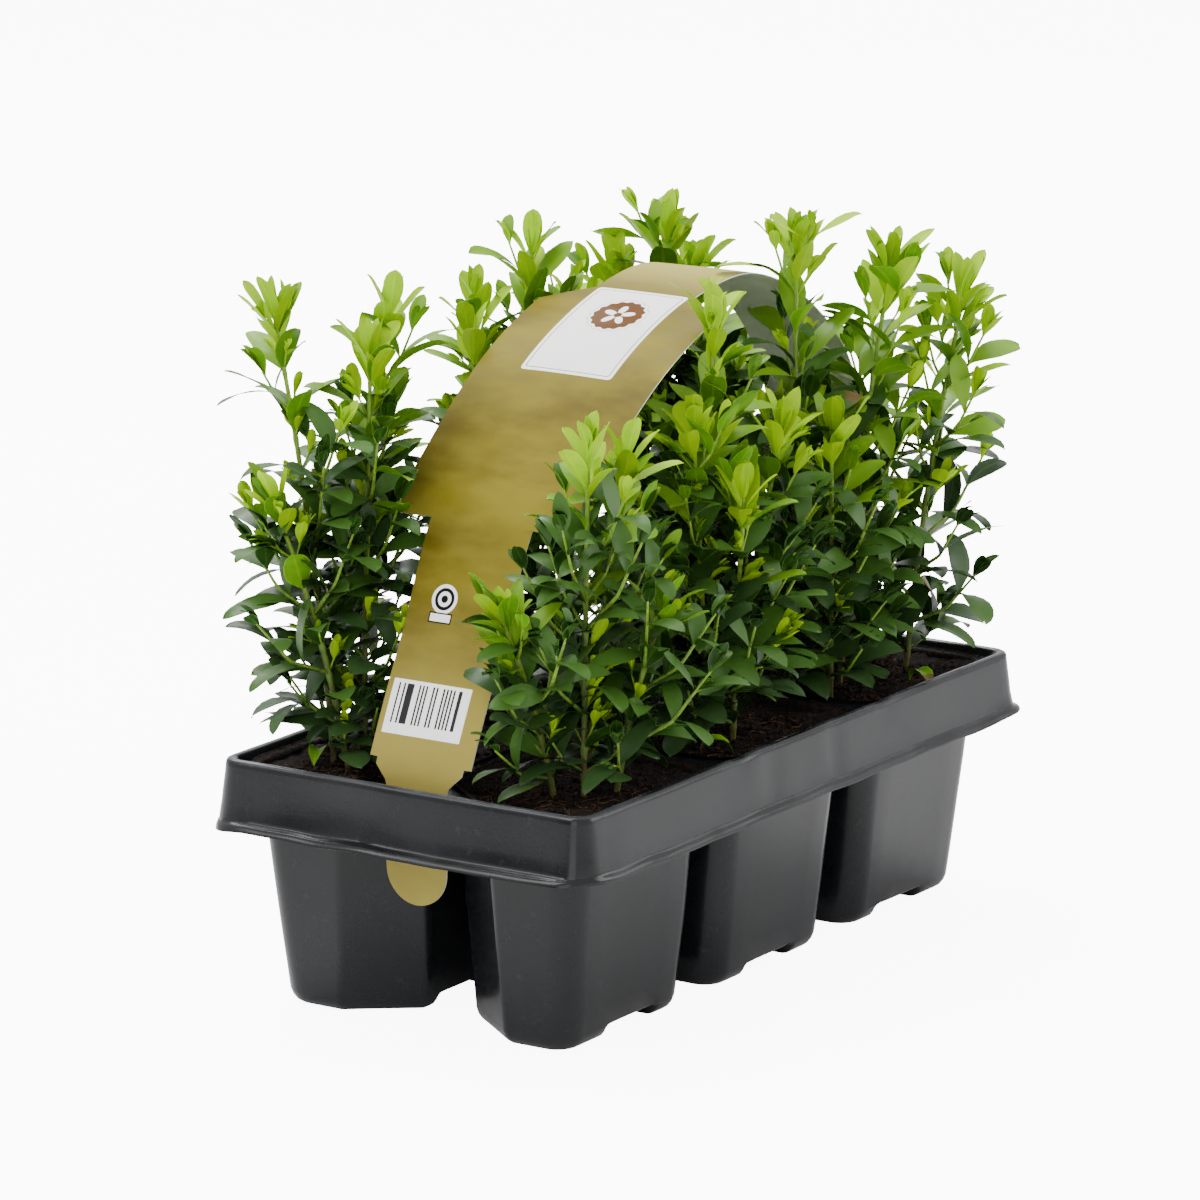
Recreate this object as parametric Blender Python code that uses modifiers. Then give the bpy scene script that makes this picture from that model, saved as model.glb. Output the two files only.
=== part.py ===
"""Six young box plants in one nursery tray with a gold carrying band.

Metres, +Z up. X runs along the tray and Y across it. The origin is the middle of the tray's
footprint, on the ground that its feet stand on.
"""
import math
import random

import bmesh
import bpy
import numpy as np
from mathutils import Vector
from mathutils.bvhtree import BVHTree

MM = 0.001
GAP = 0.3 * MM                      # clearance between neighbouring solids

# Tray: one thin formed sheet with a rim, a skirt and six tapered cells.
SHEET = 0.9 * MM
DECK_Z = 82 * MM
CORNER_STEPS = 3                    # facets in each rounded corner outside
HOLLOW_STEPS = 2                    # and inside, under the compost
# Rounded rectangles down the sheet's outer side: half length, half width, height, corner radius.
RIM_LOOPS = (
    (146.5 * MM, 76.4 * MM, 63.0 * MM, 9 * MM),       # edge of the flange
    (140.2 * MM, 75.0 * MM, 64.6 * MM, 18 * MM),      # foot of the skirt
    (137.9 * MM, 72.7 * MM, 81.0 * MM, 17 * MM),      # top of the skirt
    (136.9 * MM, 71.7 * MM, 84.0 * MM, 16 * MM),      # rounded shoulder of the rim
    (135.2 * MM, 70.0 * MM, 85.0 * MM, 15 * MM),
    (133.4 * MM, 68.2 * MM, 85.0 * MM, 13 * MM),      # rim's inner edge
    (132.6 * MM, 67.4 * MM, DECK_Z, 12 * MM),         # edge of the deck
)
CELL_PITCH = 91 * MM
# Cell sides at the deck and at the ground: the sides slope, so the cells nest.
CELL_TOP = dict(outer_x=130.6 * MM, inner_x=51.8 * MM, outer_y=66 * MM, inner_y=4.6 * MM,
                cut_x=112 * MM)
CELL_FOOT = dict(outer_x=124.8 * MM, inner_x=53.2 * MM, outer_y=57.2 * MM, inner_y=9.5 * MM,
                 cut_x=107 * MM)
CELL_CORNER = 10 * MM
CUT_SLOPE = 1.33                    # the end cells are cut back for the band: Y along the cut per X
CUT_CORNER = 5 * MM
# Height and inset of each ring up a cell's outer side and its hollow: the bottom edge is rounded.
CELL_RINGS = ((0.0, 3.6 * MM), (1.2 * MM, 1.2 * MM), (4.2 * MM, 0.0))
HOLLOW_RINGS = ((0.0, 3.6 * MM), (4.2 * MM, 0.0))
CUTTER_SPAN = 400 * MM              # longer than anything that a cutter passes through
CHANNEL_HALF = 15 * MM              # channel across under each cell, which leaves two feet
CHANNEL_HEIGHT = 4.6 * MM
CHANNEL_SHIFT = 5.5 * MM            # channels of the end cells lie nearer to the middle
DRAIN_RADIUS = 4.5 * MM
DRAIN_SIDES = 12
SOIL_Z = 79 * MM

# Band: one bent strip held by its end tabs in two slots of the deck.
BAND_THICK = 0.5 * MM
BAND_SLOT_X = 127 * MM
TAB_HALF = 12 * MM
TAB_DROP = 39 * MM
TAB_ROUND = 0.3                     # lowest share of a tab, where it is rounded off
TAB_BLUNT = 0.3                     # how blunt its end is, from 0 for a point to 1 for square
# Half widths up from the deck: the tab, its neck and the strap's shoulder, each to a height.
BAND_FOOT = ((DECK_Z + GAP, TAB_HALF), (DECK_Z + 4 * MM, 15 * MM), (DECK_Z + 9 * MM, 17 * MM))
STRAP_HALF = 20 * MM
LABEL_HALF = 35.5 * MM
# The band's curve over the plants, from the tab at -X to the tab at +X: x and z.
BAND_CURVE = ((-127, 43), (-127, 62), (-127, 82), (-122, 96), (-106, 128), (-88.5, 164), (-66, 186),
              (-40, 205), (-14, 218), (14, 226.5), (42, 229), (68, 222), (91, 209), (110, 191),
              (122, 165), (127, 132), (128, 104), (127, 82), (127, 62), (127, 43))
LABEL_START = (-88.5 * MM, 164 * MM)    # x and z
LABEL_END_X = 2 * MM
BAND_STEPS = 2                      # pieces of the strip between two points of the curve

# Plants: where each shoot leaves the soil (x, y) and where its highest leaf ends (x, y, z), in mm.
SHOOTS = {
    "far_left": (((-103, 50), (-117, 66, 246)), ((-97, 42), (-86, 45, 231)),
                 ((-90, 50), (-64, 51, 240)), ((-106, 42), (-136, 57, 186))),
    "far_mid": (((-9, 42), (-27, 50, 226)), ((-3, 51), (-9, 58, 234)),
                ((4, 43), (12, 47, 249)), ((11, 50), (41, 46, 230))),
    "far_right": (((88, 42), (95, 46, 243)), ((81, 49), (75, 56, 231)),
                  ((97, 44), (117, 47, 226)), ((98, 33), (131, 33, 196))),
    "near_left": (((-93, -43), (-94, -46, 208)), ((-84, -38), (-67, -46, 202)),
                  ((-100, -36), (-130, -29, 156)), ((-84, -50), (-68, -65, 155))),
    "near_mid": (((-7, -34), (-11, -42, 236)), ((-15, -41), (-33, -46, 204)),
                 ((-6, -46), (-25, -63, 182)), ((5, -39), (22, -52, 196))),
    "near_right": (((58, -30), (61, -29, 250)), ((80, -36), (102, -45, 240)),
                   ((115, -42), (128, -60, 226)), ((64, -42), (50, -50, 189))),
}
REACH_X = 152 * MM                  # furthest that a leaf reaches from the middle
REACH_Y = 88 * MM
LEAF_FLOOR_Z = 87 * MM              # leaves stay above the rim
SPACE_MARGIN = 1.0 * MM             # how much nearer a leaf is to its own stem than to any other
BAND_MARGIN = 1.2 * MM
AXIS_POINTS = 25
BEND_LEAN = 0.3                     # a shoot's bend: its share of the lean and of the height
BEND_RISE = 0.55
STEM_SHARE = 0.24                   # lower share of a shoot that is a bare stem
STEM_RADIUS = 1.5 * MM
STEM_FLARE = 1.45
STEM_SIDES = 5
LEADER_RADIUS = 1.15 * MM
LEADER_STEPS = 7
TIP_RADIUS = 0.5 * MM
TWIG_RADIUS = 0.65 * MM
ROOT_RADIUS = 0.3 * MM              # a twig's own end, on the axis of the limb that it grows from
TWIG_SIDES = 3
TWIG_LENGTHS = (22 * MM, 36 * MM)
TWIG_ANGLES = (38, 52)              # degrees off the stem
TWIG_LIFT = 0.45                    # how far a twig's outer half turns up
AXIL_TURN = 25                      # degrees round the stem from a leaf to the twig above it
TOP_LEAF = 19 * MM                  # leaf lengths up a shoot, larger than life as they are fewer
LOW_LEAF = 26 * MM
LEAF_WIDTH = 0.49                   # share of the length
LEAF_THICK = 0.9 * MM
LEAF_ARCH = 0.07                    # rise of a leaf's middle and fall of its tip, share of the length
LEAF_ANGLES = (72, 22)              # degrees off the stem, at the lowest pair and at the tip
TWIG_LEAF_ANGLES = (55, 32)         # half way along a twig and at its end
LEAF_JITTER = 12                    # degrees
LEAF_TRIES = ((1.0, 0), (1.0, 30), (1.0, -30), (0.8, 0), (0.8, 40), (0.8, -40), (0.65, 0))
PAIR_STEP = 0.45 * MM               # half the step along the stem between the leaves of a pair
LEAF_PAIRS = 8
PAIR_RANGE = (0.05, 0.98)           # where the lowest and highest pair stand on the leader
PAIR_CROWDING = 0.9                 # under 1, pairs stand closer towards the tip
ANGLE_CURVE = 1.5                   # how late up the shoot the leaves turn upright
TIP_SHARE = 0.72                    # share of the top leaves' length above the leader's end
TWIG_STEP = 1.35 * MM               # how far above its pair of leaves a twig grows
TWIG_PAIRS = range(1, 6)            # the pairs that have twigs above them
LEAF_LIMIT = 23                     # leaves on one shoot
ACROSS = Vector((0.31, 0.95, 0.05))     # no limb runs this way, so it gives each one a side
SEED = 41
ATTEMPTS = 12
SHORTEST_EDGE = 0.0005 * MM         # a joined body with a shorter edge is grown again

COLOURS = {
    "tray": ((0.022, 0.023, 0.025), 0.42),
    "soil": ((0.026, 0.016, 0.011), 0.95),
    "band": ((0.42, 0.32, 0.10), 0.45),
    "stem": ((0.22, 0.26, 0.06), 0.6),
    "foliage": ((0.12, 0.28, 0.04), 0.4),
}


def clear_scene():
    """Remove whatever the scene starts with."""
    for old in list(bpy.data.objects):
        bpy.data.objects.remove(old, do_unlink=True)


def make_collection(name):
    collection = bpy.data.collections.new(name)
    bpy.context.scene.collection.children.link(collection)
    return collection


def make_materials():
    """One Principled material for each finish."""
    made = {}
    for name, (colour, roughness) in COLOURS.items():
        material = bpy.data.materials.new(name)
        material.use_nodes = True
        shader = material.node_tree.nodes["Principled BSDF"]
        shader.inputs["Base Color"].default_value = (*colour, 1.0)
        shader.inputs["Roughness"].default_value = roughness
        made[name] = material
    return made


def add_object(name, mesh, collection, material=None):
    thing = bpy.data.objects.new(name, mesh)
    collection.objects.link(thing)
    if material:
        thing.data.materials.append(material)
    return thing


def finish_mesh(bm, name):
    """Write a bmesh into a new mesh with its faces pointing out."""
    bmesh.ops.recalc_face_normals(bm, faces=bm.faces)
    if bm.calc_volume(signed=True) < 0:
        bmesh.ops.reverse_faces(bm, faces=bm.faces)
    mesh = bpy.data.meshes.new(name)
    bm.to_mesh(mesh)
    bm.free()
    return mesh


def loft(rings, name, cap_start=True, cap_end=True):
    """Skin a row of closed rings that have the same number of points."""
    bm = bmesh.new()
    loops = [[bm.verts.new(point) for point in ring] for ring in rings]
    for lower, upper in zip(loops, loops[1:]):
        for i in range(len(lower)):
            bm.faces.new((lower[i - 1], lower[i], upper[i], upper[i - 1]))
    if cap_start:
        bm.faces.new(reversed(loops[0]))
    if cap_end:
        bm.faces.new(loops[-1])
    return finish_mesh(bm, name)


def rounded_outline(corners, steps):
    """Points round a polygon whose corners (x, y, radius) are turned by arcs."""
    points = []
    for i, (x, y, radius) in enumerate(corners):
        corner = Vector((x, y))
        back = (Vector(corners[i - 1][:2]) - corner).normalized()
        ahead = (Vector(corners[(i + 1) % len(corners)][:2]) - corner).normalized()
        half = back.angle(ahead) / 2
        centre = corner + (back + ahead).normalized() * (radius / math.sin(half))
        start = corner + back * (radius / math.tan(half)) - centre
        sweep = start.angle_signed(corner + ahead * (radius / math.tan(half)) - centre)
        for step in range(steps + 1):
            turn = -sweep * step / steps
            cos, sin = math.cos(turn), math.sin(turn)
            points.append((centre.x + start.x * cos - start.y * sin,
                           centre.y + start.x * sin + start.y * cos))
    return points


def inset_corners(corners, inset):
    """Move each side of a counter-clockwise polygon inwards."""
    moved = []
    for i, (x, y, radius) in enumerate(corners):
        corner = Vector((x, y))
        back = (corner - Vector(corners[i - 1][:2])).normalized()
        ahead = (Vector(corners[(i + 1) % len(corners)][:2]) - corner).normalized()
        normal_back = Vector((-back.y, back.x))
        normal_ahead = Vector((-ahead.y, ahead.x))
        bisector = (normal_back + normal_ahead).normalized()
        shifted = corner + bisector * (inset / bisector.dot(normal_back))
        moved.append((shifted.x, shifted.y, max(radius - inset, 0.6 * MM)))
    return moved


def boolean(target, operation, others, solver="EXACT"):
    """Join or cut with every object in a scratch collection, apply it and remove the objects."""
    scratch = make_collection("scratch")
    for other in others:
        for owner in list(other.users_collection):
            owner.objects.unlink(other)
        scratch.objects.link(other)
    modifier = target.modifiers.new(operation.lower(), "BOOLEAN")
    modifier.operation = operation
    modifier.operand_type = "COLLECTION"
    modifier.collection = scratch
    modifier.solver = solver
    bpy.context.view_layer.update()
    evaluated = target.evaluated_get(bpy.context.evaluated_depsgraph_get())
    result = bpy.data.meshes.new_from_object(evaluated)
    target.modifiers.clear()
    target.data = result
    for other in list(scratch.objects):
        bpy.data.objects.remove(other, do_unlink=True)
    bpy.data.collections.remove(scratch)


def mix(low, high, share):
    return low + (high - low) * share


def blend(low, high, share):
    return {key: mix(low[key], high[key], share) for key in low}


def cell_corners(column, sizes):
    """Plan of a cell on the +Y side: the end cells are cut back at the middle of the short side."""
    outer_y, inner_y = sizes["outer_y"], sizes["inner_y"]
    if column == 0:
        half = (sizes["outer_x"] - sizes["inner_x"]) / 2
        return [(half, inner_y, CUT_CORNER), (half, outer_y, CELL_CORNER),
                (-half, outer_y, CELL_CORNER), (-half, inner_y, CUT_CORNER)]
    cut_y = inner_y + (sizes["outer_x"] - sizes["cut_x"]) * CUT_SLOPE
    corners = [(sizes["outer_x"], cut_y, CUT_CORNER),
               (sizes["outer_x"], outer_y, CELL_CORNER),
               (sizes["inner_x"], outer_y, CELL_CORNER),
               (sizes["inner_x"], inner_y, CUT_CORNER),
               (sizes["cut_x"], inner_y, CUT_CORNER)]
    if column > 0:
        return corners
    return [(-x, y, radius) for x, y, radius in reversed(corners)]


def cell_ring(column, row, z, inset, steps):
    """One level ring of a cell."""
    sizes = blend(CELL_FOOT, CELL_TOP, z / DECK_Z)
    outline = rounded_outline(inset_corners(cell_corners(column, sizes), inset), steps)
    return [(x, row * y, z) for x, y in outline]


def channel_box(column, grow):
    """The channel under a cell, grown to make the floor above it."""
    half = CHANNEL_HALF + grow
    top = CHANNEL_HEIGHT + grow
    bm = bmesh.new()
    bmesh.ops.create_cube(bm, size=1.0)
    centre = column * (CELL_PITCH - CHANNEL_SHIFT)
    bmesh.ops.scale(bm, vec=(2 * half, CUTTER_SPAN, 2 * top), verts=bm.verts)
    bmesh.ops.translate(bm, vec=(centre, 0, 0), verts=bm.verts)
    return add_object("channel", finish_mesh(bm, "channel"), bpy.context.scene.collection)


def cell_solid(name, column, row, inset, top_z, rings, steps):
    """A cell's body, its hollow or its soil: the same shape at another inset."""
    outline = [cell_ring(column, row, z + inset, rounding + inset, steps) for z, rounding in rings]
    outline.append(cell_ring(column, row, top_z, inset, steps))
    solid = add_object(name, loft(outline, name), bpy.context.scene.collection)
    boolean(solid, "DIFFERENCE", [channel_box(column, inset)])
    return solid


def slot_cutter(side):
    bm = bmesh.new()
    bmesh.ops.create_cube(bm, size=1.0)
    size = (BAND_THICK + 2 * GAP, 2 * (TAB_HALF + GAP), 4 * SHEET)
    bmesh.ops.scale(bm, vec=size, verts=bm.verts)
    bmesh.ops.translate(bm, vec=(side * BAND_SLOT_X, 0, DECK_Z), verts=bm.verts)
    return add_object("slot", finish_mesh(bm, "slot"), bpy.context.scene.collection)


def drain_cutter(column, row):
    bm = bmesh.new()
    bmesh.ops.create_cone(bm, cap_ends=True, segments=DRAIN_SIDES, radius1=DRAIN_RADIUS,
                          radius2=DRAIN_RADIUS, depth=4 * SHEET)
    centre_y = row * (CELL_FOOT["outer_y"] + CELL_FOOT["inner_y"]) / 2
    centre = (column * (CELL_PITCH - CHANNEL_SHIFT), centre_y, CHANNEL_HEIGHT + SHEET / 2)
    bmesh.ops.translate(bm, vec=centre, verts=bm.verts)
    return add_object("drain", finish_mesh(bm, "drain"), bpy.context.scene.collection)


def cells():
    """Every cell: name, column along X and row across Y."""
    for row, depth in ((1, "far"), (-1, "near")):
        for column, side in ((-1, "left"), (0, "mid"), (1, "right")):
            yield f"{depth}_{side}", column, row


def build_tray(collection, material):
    """Rim, skirt and deck as a thickened sheet, joined to the cells and hollowed."""
    rings = []
    for half_x, half_y, z, radius in RIM_LOOPS:
        corners = [(half_x, -half_y, radius), (half_x, half_y, radius),
                   (-half_x, half_y, radius), (-half_x, -half_y, radius)]
        rings.append([(x, y, z) for x, y in rounded_outline(corners, CORNER_STEPS)])
    sheet = add_object("tray", loft(rings, "tray", cap_start=False), collection, material)
    wall = sheet.modifiers.new("thickness", "SOLIDIFY")
    wall.thickness = SHEET
    wall.offset = -1
    wall.use_even_offset = True
    evaluated = sheet.evaluated_get(bpy.context.evaluated_depsgraph_get())
    solid = bpy.data.meshes.new_from_object(evaluated)
    sheet.modifiers.clear()
    sheet.data = solid
    bodies = [cell_solid("body", column, row, 0.0, DECK_Z - SHEET / 2, CELL_RINGS, CORNER_STEPS)
              for name, column, row in cells()]
    boolean(sheet, "UNION", bodies)
    hollows = [cell_solid("hollow", column, row, SHEET, DECK_Z + 2 * MM, HOLLOW_RINGS, HOLLOW_STEPS)
               for name, column, row in cells()]
    slots = [slot_cutter(side) for side in (-1, 1)]
    drains = [drain_cutter(column, row) for name, column, row in cells()]
    boolean(sheet, "DIFFERENCE", hollows + slots + drains)
    return sheet


def build_soil(collection, material):
    """Compost that fills each cell to just under the deck."""
    for name, column, row in cells():
        soil = cell_solid(f"soil_{name}", column, row, SHEET + GAP, SOIL_Z, HOLLOW_RINGS, HOLLOW_STEPS)
        for owner in list(soil.users_collection):
            owner.objects.unlink(soil)
        collection.objects.link(soil)
        soil.data.materials.append(material)


def smooth_path(points, steps):
    """Catmull-Rom curve through the points."""
    padded = [points[0] * 2 - points[1], *points, points[-1] * 2 - points[-2]]
    path = []
    for a, b, c, d in zip(padded, padded[1:], padded[2:], padded[3:]):
        for step in range(steps):
            t = step / steps
            path.append(0.5 * (2 * b + (c - a) * t + (2 * a - 5 * b + 4 * c - d) * t * t
                               + (3 * b - a - 3 * c + d) * t ** 3))
    path.append(points[-1])
    return path


def band_half_width(x, z):
    """Half width of the band at a point of its curve."""
    rounding = ((DECK_Z - z) / TAB_DROP - 1 + TAB_ROUND) / TAB_ROUND
    if rounding > 0:
        return TAB_HALF * math.sqrt(max(1 - rounding ** 2, TAB_BLUNT))
    for top, half in BAND_FOOT:
        if z < top:
            return half
    if LABEL_START[0] <= x <= LABEL_END_X and z >= LABEL_START[1]:
        return LABEL_HALF
    return STRAP_HALF


def build_band(collection, material):
    """A strip that follows the curve, cut wider for the label, thickened with Solidify."""
    route = [Vector((x * MM, 0, z * MM)) for x, z in BAND_CURVE]
    path = smooth_path(route, BAND_STEPS)
    halves = [band_half_width(point.x, point.z) for point in path]
    marks = [(path[0], halves[0])]
    for here, ahead, half, next_half in zip(path, path[1:], halves, halves[1:]):
        if half != next_half and min(half, next_half) >= TAB_HALF:
            marks += [(here.lerp(ahead, 0.48), half), (here.lerp(ahead, 0.52), next_half)]
        marks.append((ahead, next_half))
    bm = bmesh.new()
    rows = []
    for point, half in marks:
        rows.append([bm.verts.new((point.x, side * half, point.z)) for side in (-1, 1)])
    for low, high in zip(rows, rows[1:]):
        bm.faces.new((low[0], low[1], high[1], high[0]))
    mesh = bpy.data.meshes.new("band")
    bm.to_mesh(mesh)
    bm.free()
    band = add_object("band", mesh, collection, material)
    wall = band.modifiers.new("thickness", "SOLIDIFY")
    wall.thickness = BAND_THICK
    wall.offset = 0
    return band


def shoot_axis(foot, tip):
    """A shoot's curve: upright at the soil, then leaning out to its tip."""
    start = Vector((foot[0] * MM, foot[1] * MM, SOIL_Z + GAP))
    end = Vector(tip) * MM
    lean = Vector((end.x - start.x, end.y - start.y, 0))
    bend = start + lean * BEND_LEAN + Vector((0, 0, (end.z - start.z) * BEND_RISE))
    axis = []
    for step in range(AXIS_POINTS):
        t = step / (AXIS_POINTS - 1)
        axis.append(start * (1 - t) ** 2 + bend * 2 * t * (1 - t) + end * t * t)
    return axis


def point_on(axis, share):
    """Point and direction at a share of the axis."""
    place = min(max(share, 0.0), 0.9999) * (len(axis) - 1)
    i = int(place)
    return axis[i].lerp(axis[i + 1], place - i), (axis[i + 1] - axis[i]).normalized()


def search_tree(mesh):
    """Tree that finds where a mesh crosses another."""
    places = [vert.co for vert in mesh.vertices]
    return BVHTree.FromPolygons(places, [face.vertices for face in mesh.polygons])


class Space:
    """Room that each shoot keeps to: nearer to its own axis than to any other, off the band."""

    def __init__(self, axes, band):
        self.names = list(axes)
        self.starts = np.array([[tuple(p) for p in axes[n][:-1]] for n in self.names])
        ends = np.array([[tuple(p) for p in axes[n][1:]] for n in self.names])
        self.runs = ends - self.starts
        self.lengths = (self.runs ** 2).sum(-1)
        depsgraph = bpy.context.evaluated_depsgraph_get()
        self.band = BVHTree.FromObject(band, depsgraph)

    def distances(self, points):
        """Distance of each point to each axis."""
        offset = points[:, None, None, :] - self.starts[None]
        share = np.clip((offset * self.runs).sum(-1) / self.lengths, 0, 1)
        nearest = offset - share[..., None] * self.runs
        return np.sqrt((nearest ** 2).sum(-1)).min(-1)

    def is_free(self, name, mesh):
        """True where a leaf or twig keeps to its shoot's room and clear of the band."""
        places = [vert.co for vert in mesh.vertices]
        middles = [places[a].lerp(places[b], 0.5) for a, b in mesh.edge_keys]
        array = np.array([tuple(place) for place in places + middles])
        if np.abs(array[:, 0]).max() > REACH_X or np.abs(array[:, 1]).max() > REACH_Y:
            return False
        if array[:, 2].min() < LEAF_FLOOR_Z:
            return False
        distance = self.distances(array)
        own = self.names.index(name)
        others = np.delete(distance, own, axis=1).min(1)
        if (others - distance[:, own]).min() < SPACE_MARGIN:
            return False
        if self.band.overlap(search_tree(mesh)):
            return False
        return all(self.band.find_nearest(place)[3] > BAND_MARGIN for place in places)


def limb_solid(points, radii, name, sides):
    """A tapering limb of few sides along a row of points."""
    rings = []
    for i, point in enumerate(points):
        ahead = points[min(i + 1, len(points) - 1)] - points[max(i - 1, 0)]
        side = ahead.cross(ACROSS).normalized()
        up = ahead.cross(side).normalized()
        ring = []
        for corner in range(sides):
            turn = 2 * math.pi * corner / sides
            ring.append(point + (side * math.cos(turn) + up * math.sin(turn)) * radii[i])
        rings.append(ring)
    return loft(rings, name)


def leaf_solid(root, along, face, length):
    """A four-sided pyramid flattened onto a leaf's outline: its apex is the arched middle."""
    side = along.cross(face).normalized()
    up = side.cross(along).normalized()
    middle = root + along * (0.5 * length) + up * (LEAF_ARCH * length)
    half = side * (length * LEAF_WIDTH / 2)
    bm = bmesh.new()
    bmesh.ops.create_cone(bm, cap_ends=True, segments=4, radius1=1.0, radius2=0.0, depth=2.0)
    for vert in bm.verts:
        x, y, z = vert.co
        if z > 0:
            vert.co = middle + up * LEAF_THICK
        elif abs(y) > abs(x):
            vert.co = root + along * length - up * (LEAF_ARCH * length) if y > 0 else root
        else:
            vert.co = middle + half * math.copysign(1, x)
    edges = [vert for vert in bm.verts if abs((vert.co - middle).dot(side)) > half.length / 2]
    bmesh.ops.connect_verts(bm, verts=edges)
    return finish_mesh(bm, "leaf")


def spread_direction(tangent, turn, angle):
    """Direction that leaves the stem at an angle, turned round it."""
    across = tangent.cross(ACROSS).normalized()
    other = tangent.cross(across).normalized()
    radial = across * math.cos(turn) + other * math.sin(turn)
    return (tangent * math.cos(angle) + radial * math.sin(angle)).normalized()


class Shoot:
    """One leafy mass while it grows: the leaves and twigs that have found room."""

    def __init__(self, name, space, rng):
        self.name = name
        self.space = space
        self.rng = rng
        self.bodies = []
        self.trees = []
        self.leaf_count = 0

    def add(self, mesh, beside):
        """Keep a body that has room and crosses none but those that it grows beside."""
        if not self.space.is_free(self.name, mesh):
            return False
        tree = search_tree(mesh)
        if any(tree.overlap(other) for other in self.trees if other not in beside):
            return False
        self.bodies.append(mesh)
        self.trees.append(tree)
        beside.append(tree)
        return True

    def grow_pair(self, at, tangent, spin, angle, length, beside):
        """Two opposite leaves, each turned or made smaller where there is little room."""
        for side in (-1, 1):
            if self.leaf_count >= LEAF_LIMIT:
                return
            root = at + tangent * (side * PAIR_STEP)
            around = spin + 90 * side + self.rng.uniform(-LEAF_JITTER, LEAF_JITTER)
            for share, shift in LEAF_TRIES:
                along = spread_direction(tangent, math.radians(around + shift), math.radians(angle))
                if self.add(leaf_solid(root, along, tangent, share * length), beside):
                    self.leaf_count += 1
                    break

    def grow_twig(self, root, tangent, spin, beside):
        """A side twig with a pair of leaves half way and another at its end."""
        turn = math.radians(spin + AXIL_TURN)
        direction = spread_direction(tangent, turn, math.radians(self.rng.uniform(*TWIG_ANGLES)))
        length = self.rng.uniform(*TWIG_LENGTHS)
        bend = root + direction * (0.5 * length)
        end = bend + (direction + Vector((0, 0, TWIG_LIFT))).normalized() * (0.5 * length)
        radii = [ROOT_RADIUS, TWIG_RADIUS, TIP_RADIUS]
        if not self.add(limb_solid([root, bend, end], radii, "twig", TWIG_SIDES), beside):
            return
        own = [self.trees[-1]]
        close = end.lerp(bend, 0.08)
        ahead = (end - bend).normalized()
        self.grow_pair(close, ahead, 90, TWIG_LEAF_ANGLES[1], TOP_LEAF, own)
        self.grow_pair(bend, direction, 0, TWIG_LEAF_ANGLES[0], TOP_LEAF, own)


def grow_foliage(name, axis, space, rng, collection, material):
    """One shoot's leafy part: a leader with paired leaves and side twigs, joined into one body."""
    reach = (axis[-1] - axis[0]).length
    first = STEM_SHARE + GAP / reach
    last = 1 - TIP_SHARE * TOP_LEAF / reach
    shares = [step / LEADER_STEPS for step in range(LEADER_STEPS + 1)]
    points = [point_on(axis, mix(first, last, share))[0] for share in shares]
    radii = [mix(LEADER_RADIUS, TIP_RADIUS, share) for share in shares]
    leader = add_object(name, limb_solid(points, radii, name, TWIG_SIDES), collection, material)
    shoot = Shoot(name, space, rng)
    first_spin = rng.uniform(0, 90)
    nodes = []
    for pair in reversed(range(LEAF_PAIRS)):
        rise = pair / (LEAF_PAIRS - 1)
        height = mix(*PAIR_RANGE, rise ** PAIR_CROWDING)
        root, tangent = point_on(axis, mix(first, last, height))
        angle = mix(*LEAF_ANGLES, rise ** ANGLE_CURVE)
        length = mix(LOW_LEAF, TOP_LEAF, rise)
        spin = first_spin + 90 * pair
        beside = []
        shoot.grow_pair(root, tangent, spin, angle, length, beside)
        if pair in TWIG_PAIRS:
            nodes.append((root + tangent * TWIG_STEP, tangent, spin, beside))
    rng.shuffle(nodes)
    for root, tangent, spin, beside in nodes:
        for side in (-90, 90):
            if shoot.leaf_count < LEAF_LIMIT:
                shoot.grow_twig(root, tangent, spin + side, beside)
    parts = [add_object("part", mesh, collection) for mesh in shoot.bodies]
    boolean(leader, "UNION", parts, "MANIFOLD")
    return leader


def build_foliage(name, axis, space, collection, material):
    """Grow a shoot again, from another seed, until its joined body is sound."""
    for attempt in range(ATTEMPTS):
        rng = random.Random(f"{name} {SEED + attempt}")
        leader = grow_foliage(name, axis, space, rng, collection, material)
        if keep_body(leader.data):
            return
        bpy.data.objects.remove(leader, do_unlink=True)
    raise ValueError(f"{name} has no sound body")


def keep_body(mesh):
    """Keep the one outer body, without loose scraps, and tell whether it is sound."""
    bm = bmesh.new()
    bm.from_mesh(mesh)
    bmesh.ops.triangulate(bm, faces=bm.faces)
    seen = set()
    islands = []
    for face in bm.faces:
        if face in seen:
            continue
        island = [face]
        seen.add(face)
        for member in island:
            for edge in member.edges:
                for neighbour in edge.link_faces:
                    if neighbour not in seen:
                        seen.add(neighbour)
                        island.append(neighbour)
        islands.append(island)
    islands.sort(key=len)
    for island in islands[:-1]:
        bmesh.ops.delete(bm, geom=island, context="FACES")
    sound = all(len(edge.link_faces) == 2 and edge.calc_length() > SHORTEST_EDGE for edge in bm.edges)
    bm.to_mesh(mesh)
    bm.free()
    return sound


def build_stem(name, axis, collection, material):
    """The bare foot of a shoot: flared at the soil and cut where the leafy part begins."""
    points = [point_on(axis, STEM_SHARE * share)[0] for share in (0.0, 0.12, 1.0)]
    radii = [STEM_RADIUS * STEM_FLARE, STEM_RADIUS, LEADER_RADIUS]
    mesh = limb_solid(points, radii, name, STEM_SIDES)
    for vert in mesh.vertices[:STEM_SIDES]:
        vert.co.z = SOIL_Z + GAP
    return add_object(name, mesh, collection, material)


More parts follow.
